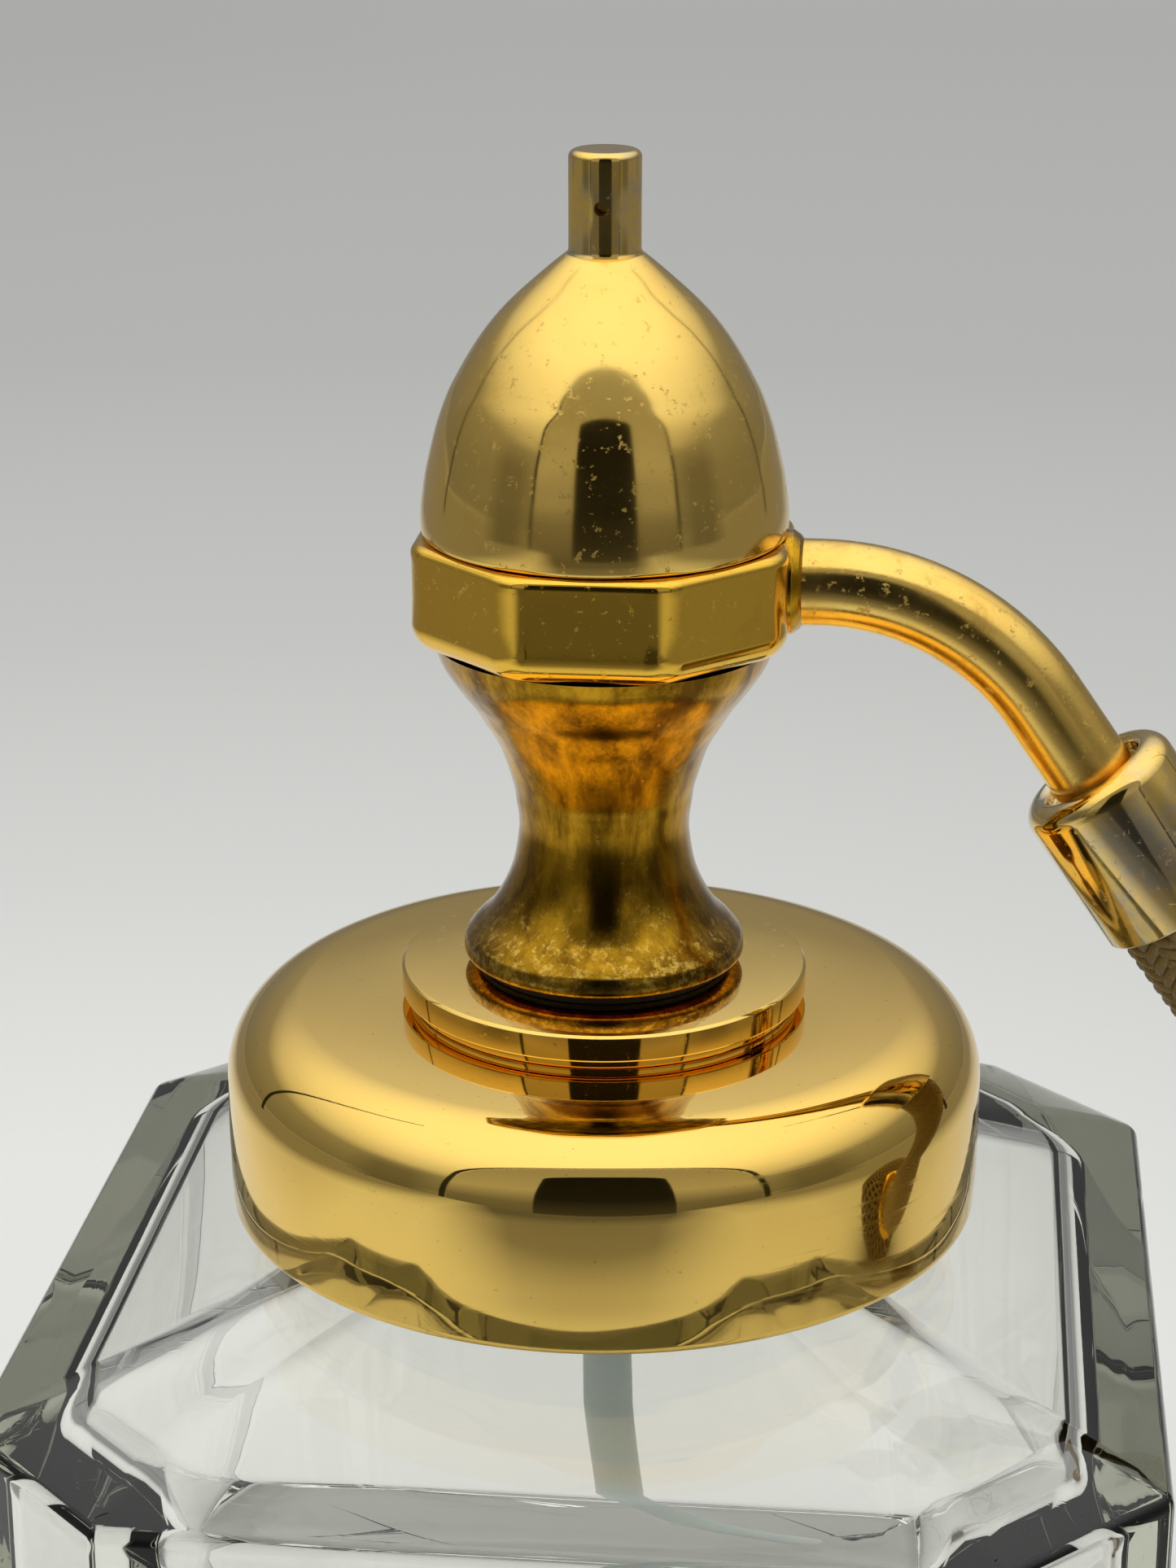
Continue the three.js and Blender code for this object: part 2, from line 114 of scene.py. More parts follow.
class Shader:
    """A material's node tree with a Principled shader, and short calls that add nodes to it."""

    def __init__(self, name):
        self.material = bpy.data.materials.new(name)
        self.material.use_nodes = True
        self.tree = self.material.node_tree
        self.principled = self.tree.nodes["Principled BSDF"]

    def set(self, **values):
        for key, value in values.items():
            self.principled.inputs[key.replace("_", " ")].default_value = value
        return self

    def node(self, kind, inputs=(), **settings):
        made = self.tree.nodes.new(kind)
        for key, value in settings.items():
            setattr(made, key, value)
        for key, value in dict(inputs).items():
            self.feed(made, key, value)
        return made

    def feed(self, node, key, value):
        if isinstance(value, bpy.types.NodeSocket):
            self.tree.links.new(value, node.inputs[key])
        else:
            node.inputs[key].default_value = value

    def place(self, scale=(1, 1, 1), rotation=(0, 0, 0)):
        coordinates = self.node("ShaderNodeTexCoord").outputs["Object"]
        mapping = {"Vector": coordinates, "Scale": scale, "Rotation": rotation}
        return self.node("ShaderNodeMapping", mapping).outputs["Vector"]

    def noise(self, scale, detail=4, roughness=0.6, where=None, distortion=0):
        inputs = {"Scale": scale, "Detail": detail, "Roughness": roughness, "Distortion": distortion}
        inputs["Vector"] = where or self.place()
        return self.node("ShaderNodeTexNoise", inputs).outputs["Fac"]

    def ramp(self, value, stops):
        made = self.node("ShaderNodeValToRGB", {"Fac": value})
        elements = made.color_ramp.elements
        while len(elements) < len(stops):
            elements.new(0.5)
        for element, (position, colour) in zip(elements, stops):
            element.position = position
            element.color = (*colour, 1)
        return made.outputs["Color"]

    def spread(self, value, low_in, high_in, low_out=0, high_out=1):
        inputs = {"From Min": low_in, "From Max": high_in, "To Min": low_out, "To Max": high_out}
        inputs["Value"] = value
        return self.node("ShaderNodeMapRange", inputs).outputs["Result"]

    def maths(self, operation, a, b):
        made = self.node("ShaderNodeMath", operation=operation)
        self.feed(made, 0, a)
        self.feed(made, 1, b)
        return made.outputs["Value"]

    def mix(self, factor, a, b, blend="MIX"):
        made = self.node("ShaderNodeMix", data_type="RGBA", blend_type=blend)
        for index, value in ((0, factor), (6, a), (7, b)):
            if isinstance(value, bpy.types.NodeSocket):
                self.tree.links.new(value, made.inputs[index])
            else:
                made.inputs[index].default_value = value
        return made.outputs[2]

    def height(self):
        """Height above the base, in metres, from the object's own coordinates."""
        coordinates = self.node("ShaderNodeTexCoord").outputs["Object"]
        return self.node("ShaderNodeSeparateXYZ", {"Vector": coordinates}).outputs["Z"]

    def colour(self, value):
        self.tree.links.new(value, self.principled.inputs["Base Color"])
        return self

    def rough(self, value):
        self.tree.links.new(value, self.principled.inputs["Roughness"])
        return self

    def bump(self, value, depth, strength=1.0):
        """Adds a bump of that depth in millimetres, on top of any bump before it."""
        inputs = {"Height": value, "Distance": depth * MM, "Strength": strength}
        made = self.node("ShaderNodeBump", inputs)
        before = self.principled.inputs["Normal"].links
        if before:
            self.tree.links.new(before[0].from_socket, made.inputs["Normal"])
        self.tree.links.new(made.outputs["Normal"], self.principled.inputs["Normal"])
        return self


PALE_GOLD = (0.88, 0.60, 0.155)
RING_GOLD = (0.86, 0.52, 0.065)
DEEP_GOLD = (0.80, 0.44, 0.06)
OLD_GOLD = (0.42, 0.20, 0.03)
SILVERED = (0.56, 0.48, 0.33)


def gold(name, polish, tarnish=0.0, pits=0.0, warm=0.0, grain=0.0, worn=0.0, base=PALE_GOLD):
    """Gold plate. polish is its roughness where it is clean, and the rest, from 0 to 1, say how much
    it has of each kind of wear."""
    s = Shader(name).set(Metallic=1.0)
    clouds = s.noise(90, detail=5)
    colour = s.mix(s.spread(clouds, 0.42, 0.72, 0, 0.25 + 0.5 * warm), (*base, 1), (*DEEP_GOLD, 1))
    if worn:
        bare = s.spread(s.noise(160, detail=7, roughness=0.7), 0.62 - 0.35 * worn, 0.72 - 0.2 * worn)
        colour = s.mix(bare, colour, (*SILVERED, 1))
    specks = s.noise(1500, detail=6, roughness=0.75)
    specks = s.spread(specks, 0.66 - 0.12 * pits, 0.74 - 0.1 * pits, 0, pits)
    patches = s.noise(260, detail=8, roughness=0.72, distortion=0.6)
    patches = s.spread(patches, 0.60 - 0.12 * tarnish, 0.80, 0, tarnish)
    dirt = s.maths("MAXIMUM", s.maths("MULTIPLY", specks, 0.8), patches)
    s.colour(s.mix(dirt, colour, (*OLD_GOLD, 1)))
    smudges = s.spread(s.noise(140, detail=6), 0.35, 0.75, polish * 0.75, polish * 1.6)
    s.rough(s.maths("ADD", smudges, s.maths("MULTIPLY", dirt, 0.30)))
    s.bump(s.noise(60, detail=2), 0.010)
    if grain:
        s.bump(s.noise(5200, detail=3), 0.004 * grain)
    if pits:
        s.bump(s.maths("SUBTRACT", 1.0, specks), 0.02)
    return s.material


def cap_gold():
    """The cap's mirror gold, with a patch of fine level rub marks on the front of its skirt."""
    s = Shader("cap_gold").set(Metallic=1.0)
    clouds = s.noise(40, detail=3)
    colour = s.mix(s.spread(clouds, 0.4, 0.8, 0, 0.35), (*PALE_GOLD, 1), (*DEEP_GOLD, 1))
    rubs = s.noise(900, detail=5, where=s.place(scale=(0.03, 0.03, 3.2)))
    zone = s.spread(s.noise(38, detail=1), 0.46, 0.60)
    marks = s.maths("MULTIPLY", s.spread(rubs, 0.56, 0.68), zone)
    dust = s.spread(s.noise(2600, detail=2), 0.70, 0.76, 0, 0.5)
    s.colour(s.mix(dust, colour, (*OLD_GOLD, 1)))
    smudges = s.spread(s.noise(70, detail=5), 0.3, 0.8, 0.025, 0.07)
    s.rough(s.maths("ADD", smudges, s.maths("MULTIPLY", marks, 0.16)))
    s.bump(s.noise(45, detail=1), 0.012)
    s.bump(marks, 0.0012)
    return s.material


def aged_lacquer():
    """The stem's deep gold: streaked from top to bottom, darkened towards the foot with painted shade,
    and worn to pale grains round the foot.
    """
    s = Shader("aged_lacquer").set(Metallic=1.0)
    streaks = s.noise(420, detail=6, roughness=0.7, where=s.place(scale=(1, 1, 0.25)))
    colour = s.mix(s.spread(streaks, 0.38, 0.62), (0.60, 0.32, 0.017, 1), (0.15, 0.07, 0.005, 1))
    grains = s.noise(1700, detail=8, roughness=0.75)
    foot_z = low("stem") * MM
    # painted shade: the colour darkens over the lowest 12 mm of the stem, towards its foot
    painted_foot_shade = s.spread(s.height(), foot_z + 0.002, foot_z + 0.012, 0.4, 0)
    colour = s.mix(painted_foot_shade, colour, (0.10, 0.052, 0.004, 1))
    foot = s.spread(s.height(), foot_z, foot_z + 0.006, 0.13, 0)
    worn = s.spread(s.maths("ADD", grains, foot), 0.60, 0.72, 0, 0.6)
    s.colour(s.mix(worn, colour, (0.72, 0.47, 0.09, 1)))
    s.rough(s.spread(streaks, 0.3, 0.7, 0.07, 0.18))
    s.bump(grains, 0.012)
    s.bump(s.noise(60, detail=2), 0.010)
    return s.material


def turned_brass():
    s = Shader("turned_brass").set(Metallic=1.0)
    rings = s.noise(700, detail=3, where=s.place(scale=(0.05, 0.05, 4)))
    s.colour(s.mix(s.noise(300), (0.62, 0.40, 0.14, 1), (0.42, 0.27, 0.10, 1)))
    s.rough(s.spread(rings, 0.3, 0.7, 0.22, 0.42))
    s.bump(rings, 0.01)
    return s.material


def bright_steel():
    s = Shader("bright_steel").set(Metallic=1.0)
    s.colour(s.mix(s.noise(400), (0.62, 0.62, 0.64, 1), (0.48, 0.48, 0.50, 1)))
    s.rough(s.spread(s.noise(900), 0.3, 0.7, 0.12, 0.26))
    s.bump(s.noise(2500), 0.002)
    return s.material


def clear_glass():
    s = Shader("clear_glass").set(Transmission_Weight=1.0, IOR=1.5, Base_Color=(0.985, 0.985, 0.975, 1))
    waves = s.noise(55, detail=2)
    s.rough(s.spread(s.noise(700, detail=6, roughness=0.8), 0.66, 0.80, 0.0, 0.10))
    s.bump(waves, 0.05)
    scratches = s.noise(1200, detail=2, where=s.place(scale=(0.04, 1.4, 1), rotation=(0, 0, 0.6)))
    s.bump(s.spread(scratches, 0.68, 0.74), 0.0015)
    depth = s.node("ShaderNodeVolumeAbsorption", {"Color": (0.74, 0.75, 0.64, 1), "Density": 26})
    s.tree.links.new(depth.outputs[0], s.tree.nodes["Material Output"].inputs["Volume"])
    return s.material


def soft_black():
    s = Shader("black_washer").set(Specular_IOR_Level=0.4)
    s.colour(s.mix(s.noise(900), (0.006, 0.006, 0.006, 1), (0.018, 0.017, 0.016, 1)))
    s.rough(s.spread(s.noise(1500), 0.3, 0.7, 0.45, 0.7))
    s.bump(s.noise(3500), 0.01)
    return s.material


def bulb_rubber(name, dark, light):
    s = Shader(name).set(Specular_IOR_Level=0.35)
    s.colour(s.mix(s.noise(500, detail=6), (*dark, 1), (*light, 1)))
    s.rough(s.spread(s.noise(1200), 0.3, 0.7, 0.55, 0.8))
    s.bump(s.noise(2600, detail=3), 0.02)
    return s.material


def natural_tube():
    s = Shader("natural_tube").set(Transmission_Weight=0.12, IOR=1.42, Subsurface_Weight=0.8)
    s.principled.inputs["Subsurface Scale"].default_value = 1.5 * MM
    s.colour(s.mix(s.noise(300, detail=4), (0.97, 0.97, 0.92, 1), (0.90, 0.90, 0.84, 1)))
    s.rough(s.spread(s.noise(800), 0.3, 0.7, 0.30, 0.50))
    s.bump(s.noise(700, where=s.place(scale=(1, 1, 0.1))), 0.01)
    return s.material


def moulded_plastic():
    s = Shader("moulded_plastic").set(IOR=1.49)
    s.colour(s.mix(s.noise(200), (0.70, 0.68, 0.63, 1), (0.60, 0.58, 0.53, 1)))
    s.rough(s.spread(s.noise(1000), 0.3, 0.7, 0.40, 0.58))
    s.bump(s.noise(3000), 0.006)
    return s.material


def braid_thread():
    """Dark olive-gold lustrous thread, in strands that vary a little in tone."""
    s = Shader("braid_thread").set(Specular_IOR_Level=0.7, Sheen_Weight=0.25, Sheen_Roughness=0.4)
    fibres = s.noise(9000, detail=3, where=s.place(scale=(1, 1, 0.35)))
    tone = s.mix(s.noise(450, detail=4), (0.20, 0.125, 0.022, 1), (0.115, 0.075, 0.016, 1))
    s.colour(s.mix(s.spread(fibres, 0.35, 0.7), tone, (0.30, 0.20, 0.05, 1)))
    s.rough(s.spread(fibres, 0.3, 0.7, 0.36, 0.6))
    s.principled.inputs["Metallic"].default_value = 0.35
    s.bump(fibres, 0.012)
    return s.material


# ------------------------------ mesh helpers

def make_object(name, vertices, faces, material, flat_angle=40, weighted=False):
    """A mesh object from points in millimetres, smooth but for edges sharper than flat_angle."""
    mesh = bpy.data.meshes.new(name)
    mesh.from_pydata([Vector(v) * MM for v in vertices], [], faces)
    mesh.validate()
    made = link(name, mesh)
    clean = bmesh.new()
    clean.from_mesh(mesh)
    bmesh.ops.recalc_face_normals(clean, faces=clean.faces)
    clean.to_mesh(mesh)
    clean.free()
    mesh.shade_smooth()
    mesh.set_sharp_from_angle(angle=math.radians(flat_angle))
    mesh.materials.append(material)
    if weighted:
        shading = made.modifiers.new("weighted", "WEIGHTED_NORMAL")
        shading.keep_sharp = True
    return made


def fillet(points):
    """A polyline's points with its corners rounded. Each point is (r, z) or (r, z, rounding)."""
    made = []
    for i, point in enumerate(points):
        corner = Vector(point[:2])
        if len(point) == 2 or i in (0, len(points) - 1):
            made.append(tuple(corner))
            continue
        a = (Vector(points[i - 1][:2]) - corner).normalized()
        b = (Vector(points[i + 1][:2]) - corner).normalized()
        half = a.angle(b) / 2
        reach = point[2] / math.tan(half)
        middle = corner + (a + b).normalized() * (point[2] / math.sin(half))
        start, end = corner + a * reach - middle, corner + b * reach - middle
        turn = start.angle_signed(end)
        steps = max(3, round(abs(math.degrees(turn)) / 12))
        for k in range(steps + 1):
            spun = Matrix.Rotation(-turn * k / steps, 2) @ start
            made.append(tuple(middle + spun))
    return made


def spline(points, per_span=8):
    """A smooth line through points, as a Catmull-Rom curve, in two or three dimensions."""
    points = [Vector(p) for p in points]
    ends = [2 * points[0] - points[1], *points, 2 * points[-1] - points[-2]]
    made = []
    for i in range(len(points) - 1):
        a, b, c, d = ends[i:i + 4]
        for k in range(per_span):
            t = k / per_span
            made.append(0.5 * (2 * b + (c - a) * t + (2 * a - 5 * b + 4 * c - d) * t * t
                               + (3 * b - a - 3 * c + d) * t ** 3))
    return [*made, points[-1]]


def join_rings(rings, closed=False):
    """Quads between neighbouring rings of equal size. The ends are capped, unless the rings close
    on themselves."""
    count = len(rings[0])
    vertices = [p for ring in rings for p in ring]
    faces = []
    for i in range(len(rings) if closed else len(rings) - 1):
        a, b = i * count, (i + 1) % len(rings) * count
        faces += [(a + k, a + (k + 1) % count, b + (k + 1) % count, b + k) for k in range(count)]
    if not closed:
        faces += [tuple(range(count)), tuple(range(len(vertices) - count, len(vertices)))]
    return vertices, faces


def revolve(name, profile, material, place=Matrix.Identity(4), segments=96, flat_angle=40):
    """A solid turned about local +Z from (r, z) points, which close on themselves or start and end
    on the axis."""
    open_ends = profile[0][0] < 1e-6
    rings_of = [p for p in profile if p[0] > 1e-6]
    if not open_ends and (Vector(profile[0]) - Vector(profile[-1])).length < 1e-6:
        rings_of = profile[:-1]
    vertices, faces = [], []
    angles = [2 * math.pi * k / segments for k in range(segments)]
    turns = [(math.cos(a), math.sin(a)) for a in angles]
    for r, z in rings_of:
        vertices += [place @ Vector((r * c, r * s, z)) for c, s in turns]
    count = len(rings_of)
    for i in range(count - 1 if open_ends else count):
        a, b = i * segments, (i + 1) % count * segments
        faces += [(a + k, a + (k + 1) % segments, b + (k + 1) % segments, b + k) for k in range(segments)]
    if open_ends:
        for z, start in ((profile[0][1], 0), (profile[-1][1], (count - 1) * segments)):
            vertices.append(place @ Vector((0, 0, z)))
            hub = len(vertices) - 1
            faces += [(start + k, start + (k + 1) % segments, hub) for k in range(segments)]
    return make_object(name, vertices, faces, material, flat_angle)


def frames_along(path):
    """(point, across, over) at each point of a path that lies near an upright plane."""
    made = []
    for i, point in enumerate(path):
        ahead = (path[min(i + 1, len(path) - 1)] - path[max(i - 1, 0)]).normalized()
        across = Vector((0, 1, 0))
        made.append((point, across, ahead.cross(across)))
    return made


def sweep(name, path, outer, inner, material, segments=48):
    """A tube along a path, with a bore."""
    rings = []
    frames = frames_along(path)
    for size, run in ((outer, frames), (inner, frames[::-1])):
        for point, across, over in run:
            angles = [2 * math.pi * k / segments for k in range(segments)]
            rings.append([point + size * (math.cos(a) * across + math.sin(a) * over) for a in angles])
    vertices, faces = join_rings(rings, closed=True)
    return make_object(name, vertices, faces, material)


def dress(node, material):
    """Gives a carried-over CAD node a better material."""
    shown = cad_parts[node]
    shown.data.materials.clear()
    shown.data.materials.append(material)
    shown.data.shade_smooth()
    shown.data.set_sharp_from_angle(angle=math.radians(35))


def finish_piece(piece, body, slot, *nodes):
    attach(piece, body)
    if nodes:
        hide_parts(*nodes)
    return piece


# ------------------------------ glass bottle

GLASS_LEG = 9.5  # how far the cut corners reach along each side
GLASS_CORNER_ROUND = 1.2
GLASS_EDGE_ROUND = 0.9
INSET_SHRINK = 0.586  # how fast a cut corner's reach shrinks as its outline is inset, 2 less root 2
SHOULDER_Z = 52
RIM_R, RIM_Z = 21.2, 57.4  # the shoulder has become round here, under the cap
NECK_FOOT_R, NECK_FOOT_Z = 13.4, 59.2
NECK_FILLET, NECK_FILLET_Z = 1.2, 59.4
WALL = 5
CAVITY_LEG = 8.2
CAVITY_CORNER_ROUND = 3.5
FLOOR_Z = 7.2
CEILING_Z, THROAT_Z = 47.5, 56.1  # where the cavity's ceiling starts and ends
BORE_R = 8.4
FOOT_ROUND = 1.2
LIFT = 0.05  # air between the base and what it stands on


def octagon(half, leg, rounding, z, per_corner=6):
    """A square outline with cut corners, its eight corners rounded."""
    near = half - leg
    corners = [(half, -near), (half, near), (near, half), (-near, half),
               (-half, near), (-half, -near), (-near, -half), (near, -half)]
    made = []
    for i, corner in enumerate(corners):
        corner = Vector(corner)
        a = (Vector(corners[i - 1]) - corner).normalized()
        b = (Vector(corners[(i + 1) % 8]) - corner).normalized()
        middle = corner + (a + b).normalized() * rounding / math.sin(a.angle(b) / 2)
        start = corner + a * rounding / math.tan(a.angle(b) / 2) - middle
        for k in range(per_corner + 1):
            spun = Matrix.Rotation(math.radians(45) * k / per_corner, 2) @ start
            made.append(Vector((*(middle + spun), z)))
    return made


def round_ring(like, r, z):
    """A circle with its points in the directions of another ring's points."""
    made = []
    for point in like:
        angle = math.atan2(point.y, point.x)
        made.append(Vector((r * math.cos(angle), r * math.sin(angle), z)))
    return made


def blend_rings(a, b, share):
    """A ring between two others, with their corners' softness shared out too."""
    return [p.lerp(q, share) for p, q in zip(a, b)]


def make_glass(material):
    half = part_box("glass_bottle")[1].x / MM
    neck_r = radius("neck_gasket") + 0.3
    lip_z = top("glass_bottle")
    edge = GLASS_EDGE_ROUND

    def outer(inset, z, rounding=GLASS_CORNER_ROUND):
        return octagon(half - inset, GLASS_LEG - INSET_SHRINK * inset, rounding, z)

    def inner(inset, z, rounding=CAVITY_CORNER_ROUND):
        return octagon(half - WALL - inset, CAVITY_LEG - INSET_SHRINK * inset, rounding, z)

    base = outer(0, 0)
    rings = [outer(9, 0.9), outer(6.5, 0.7), outer(5, LIFT)]
    for k in range(6):  # rounded foot
        a = math.radians(18 * k)
        rings.append(outer(FOOT_ROUND * (1 - math.sin(a)), LIFT + FOOT_ROUND * (1 - math.cos(a))))
    rings.append(outer(0, SHOULDER_Z - edge))
    slope = math.atan2(RIM_Z - SHOULDER_Z, half - RIM_R)
    for k in range(1, 6):  # rounded outer edge of the shoulder
        a = (math.pi / 2 - slope) * k / 5
        rings.append(outer(edge * (1 - math.cos(a)), SHOULDER_Z - edge * (1 - math.sin(a)) + 0.04 * k))
    run = half - RIM_R
    for share in (0.15, 0.32, 0.5, 0.68, 0.85, 1):  # the shoulder, eight-sided below and round above
        z = SHOULDER_Z + (RIM_Z - SHOULDER_Z) * share
        circle = round_ring(base, RIM_R + run * (1 - share), z)
        rings.append(blend_rings(outer(run * share, z, 1.2 + 4 * share), circle, share ** 2))
    rings.append(round_ring(base, NECK_FOOT_R, NECK_FOOT_Z))
    for k in range(5):  # fillet into the neck, then up to the lip
        a = math.radians(22.5 * k)
        r = neck_r + NECK_FILLET * (1 - math.sin(a))
        rings.append(round_ring(base, r, NECK_FILLET_Z + NECK_FILLET * (1 - math.cos(a))))
    rings += [round_ring(base, neck_r, lip_z - 0.8), round_ring(base, neck_r - 0.8, lip_z)]
    rings += [round_ring(base, BORE_R + 0.6, lip_z), round_ring(base, BORE_R, lip_z - 0.6)]
    rings += [round_ring(base, BORE_R, 58.2), round_ring(base, BORE_R + 0.5, 57.0)]
    haunch = inner(6, CEILING_Z + 4.6, 7)
    haunch_r, throat_r = half - WALL - 6, BORE_R + 2
    for k in range(9):  # the sloping ceiling, round at the throat and eight-sided further down
        share = k / 8
        r = throat_r + (haunch_r - throat_r) * share
        z = THROAT_Z + (CEILING_Z + 4.6 - THROAT_Z) * share
        scaled = [Vector((p.x * r / haunch_r, p.y * r / haunch_r, z)) for p in haunch]
        rings.append(blend_rings(round_ring(base, r, z), scaled, share ** 1.5))
    for k in range(1, 8):  # the rounded edge between the cavity's ceiling and its walls
        a = math.radians(66 * (1 - k / 7))
        softness = CAVITY_CORNER_ROUND + 3 * math.sin(a)
        rings.append(inner(4 * (1 - math.cos(a)), CEILING_Z + 4 * math.sin(a), softness))
    for k in range(8):  # rounded foot of the cavity
        a = math.radians(90 / 7 * k)
        rings.append(inner(5 * (1 - math.cos(a)), FLOOR_Z + 5 * (1 - math.sin(a))))
    rings.append(inner(14, FLOOR_Z - 0.2))
    vertices, faces = join_rings(rings)
    return make_object("bottle_glass", vertices, faces, material, flat_angle=80, weighted=True)


# ------------------------------ cap, collar and washer

CAP_ROUND = 4.4
CAP_WALL = 1.0
CLOSE = 0.03  # pieces that touch on the real bottle stand this far apart here
DISC_HOLE_R = 6.2
STEP_SHARE = 0.27  # how much of the collar's height its lower disc takes
STEP_INSET = 0.5  # how much narrower the lower disc is
WASHER_DROP = 0.3  # the washer is drawn this much thinner than its node
STEM_SINK = 0.57  # and the stem's foot comes down this far to meet it


def make_cap(material):
    r, z0, z1 = radius("cap_shell"), low("cap_shell"), top("cap_shell")
    rim = r - 0.14
    hole = radius("neck_plug") - 5.3
    inside = CAP_ROUND - CAP_WALL
    skirt = spline([(rim, z0 + 0.2), (r - 0.09, z0 + 1.1), (r - 0.03, z0 + 2.3), (r, z0 + 4.2)], 4)
    profile = fillet([
        (rim - CAP_WALL, z0 + 0.3),
        (rim - CAP_WALL + 0.25, z0, 0.12),
        (rim - 0.12, z0, 0.1),
        *[tuple(p) for p in skirt],
        (r, z1, CAP_ROUND),
        (hole, z1, 0.05),
        (hole, z1 - 0.8),
        (r - CAP_WALL, z1 - 0.8, inside),
        (rim - CAP_WALL, z0 + 3, 2),
        (rim - CAP_WALL, z0 + 0.3),
    ])
    return revolve("cap", profile, material, segments=160)


def make_disc(name, r, z0, z1, material, rounding):
    """A flat ring round the spindle, with a rounded upper edge."""
    return revolve(name, fillet([
        (DISC_HOLE_R, z0), (r - 0.04, z0, 0.03), (r, z0 + 0.1, 0.03),
        (r, z1 - rounding, 0.06), (r - rounding, z1, 0.06), (DISC_HOLE_R, z1), (DISC_HOLE_R, z0),
    ]), material, segments=144, flat_angle=60)


# ------------------------------ spray head

def make_stem(material):
    z0, z1 = low("stem"), top("octagon_ring") - 6.2
    bore, base_z = 3.9, z0 - STEM_SINK
    foot = [(bore, base_z), (7.6, base_z, 0.2), (8.3, z0 - 0.25, 0.4), (8.2, z0 + 0.75)]
    flank = spline([
        (8.2, z0 + 0.75), (7.6, z0 + 1.45), (6.75, z0 + 2.3), (5.9, z0 + 3.7), (5.33, z0 + 5.2),
        (5.02, z0 + 7), (5, z0 + 8), (5.15, z0 + 9.1), (5.3, z0 + 10.1), (5.92, z0 + 12.1),
        (6.38, z0 + 13.1), (7, z0 + 14.1), (7.62, z0 + 15.1), (8.4, z0 + 16.1), (9.4, z0 + 17.6),
        (9.9, z1 - CLOSE),
    ], 4)
    profile = [*fillet(foot), *[tuple(p) for p in flank[1:]], (bore, z1 - CLOSE), (bore, base_z)]
    return revolve("stem_shell", profile, material, segments=112)


def make_ring(material):
    """The octagonal ring: flat facets whose upright borders roll over, under a crisper top edge."""
    z0, z1 = low("octagon_ring"), top("octagon_ring")
    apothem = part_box("octagon_ring")[1].x / MM
    low_edge, top_edge, roll = 1.5, 0.6, 3.1

    def outline(inset, z):
        made = []
        reach = roll - 0.75 * inset
        inner = apothem - inset - reach
        for i in range(8):
            middle = math.radians(45 * i + 22.5)
            post = Vector((math.cos(middle), math.sin(middle))) * inner / math.cos(math.radians(22.5))
            for k in range(9):
                a = middle + math.radians(45) * (k / 8 - 0.5)
                made.append(Vector((post.x + reach * math.cos(a), post.y + reach * math.sin(a), z)))
        return made

    rings = []
    for k in range(7):
        a = math.radians(15 * k)
        rings.append(outline(low_edge * (1 - math.sin(a)), z0 + low_edge * (1 - math.cos(a))))
    rings += [outline(0.03, z0 + 1.7), outline(0.06, (z0 + z1) / 2), outline(0.04, z1 - 1.0)]
    for k in range(7):
        a = math.radians(90 - 15 * k)
        rings.append(outline(top_edge * (1 - math.sin(a)), z1 - top_edge * (1 - math.cos(a))))
    rings += [round_ring(rings[0], 9.4, z) for z in (z1, z0)]
    vertices, faces = join_rings(rings, closed=True)
    return make_object("octagon_band", vertices, faces, material, flat_angle=50, weighted=True)


def make_dome(material):
    z0 = top("octagon_ring")
    outline = spline([
        (10.46, z0 + 0.2), (10.5, z0 + 0.8), (10.47, z0 + 1.6), (10.36, z0 + 2.5), (10.2, z0 + 3.5),
        (10, z0 + 4.4), (9.76, z0 + 5.4), (9.51, z0 + 6.3), (9.2, z0 + 7.2), (8.79, z0 + 8.2),
        (8.32, z0 + 9.1), (7.81, z0 + 10), (7.18, z0 + 11), (6.52, z0 + 11.9), (5.75, z0 + 12.8),
        (4.84, z0 + 13.7), (3.83, z0 + 14.6), (2.9, z0 + 15.4), (2.2, z0 + 15.95),
    ], 4)
    profile = [(9.4, z0 + CLOSE), (10.25, z0 + CLOSE), (10.4, z0 + 0.1), *[tuple(p) for p in outline]]
    profile += [(1.1, z0 + 16), (1.1, z0 + 13.5), (7, z0 + 8), (9.2, z0 + 2), (9.4, z0 + CLOSE)]
    return revolve("dome_shell", profile, material, segments=144)


ORIFICE_R = 0.43
ORIFICE_END = 0.9  # the spray orifice stops this far from the axis
SPRAY_BAND = 0.55  # half the height of the band of small faces that the orifice is cut in


def make_nozzle(material):
    """The nozzle tip, with the spray orifice drilled in its side."""
    r, z0, z1 = radius("nozzle_tip"), top("dome") - 0.3, top("nozzle_tip")
    spray_z = centre("spray_jet").z
    side = fillet([(1.05, z0), (r + 0.3, z0, 0.1), (r, z0 + 0.55, 0.4), (r, spray_z - SPRAY_BAND)])
    head = fillet([(r, spray_z + SPRAY_BAND), (r, z1, 0.45), (0.2, z1)])
    middle = [(r, spray_z + SPRAY_BAND * (k / 6 - 1)) for k in range(1, 12)]
    tip = revolve("nozzle", [(0, z0), *side, *middle, *head, (0, z1)], material, segments=128)
    level = Matrix.Translation((0, 0, spray_z)) @ Matrix.Rotation(-math.pi / 2, 4, "X")
    outline = [(0, -r - 1), (ORIFICE_R, -r - 1), (ORIFICE_R, -ORIFICE_END), (0, -ORIFICE_END)]
    drill = revolve("drill", outline, material, level, segments=48)
    hole = tip.modifiers.new("orifice", "BOOLEAN")
    hole.operation = "DIFFERENCE"
    hole.solver = "EXACT"
    hole.object = drill
    bpy.context.view_layer.update()
    cut = bpy.data.meshes.new_from_object(tip.evaluated_get(bpy.context.evaluated_depsgraph_get()))
    cut.set_sharp_from_angle(angle=math.radians(35))
    tip.modifiers.clear()
    tip.data = cut
    bpy.data.objects.remove(drill)
    return tip


# ------------------------------ air tube, ferrule and hose

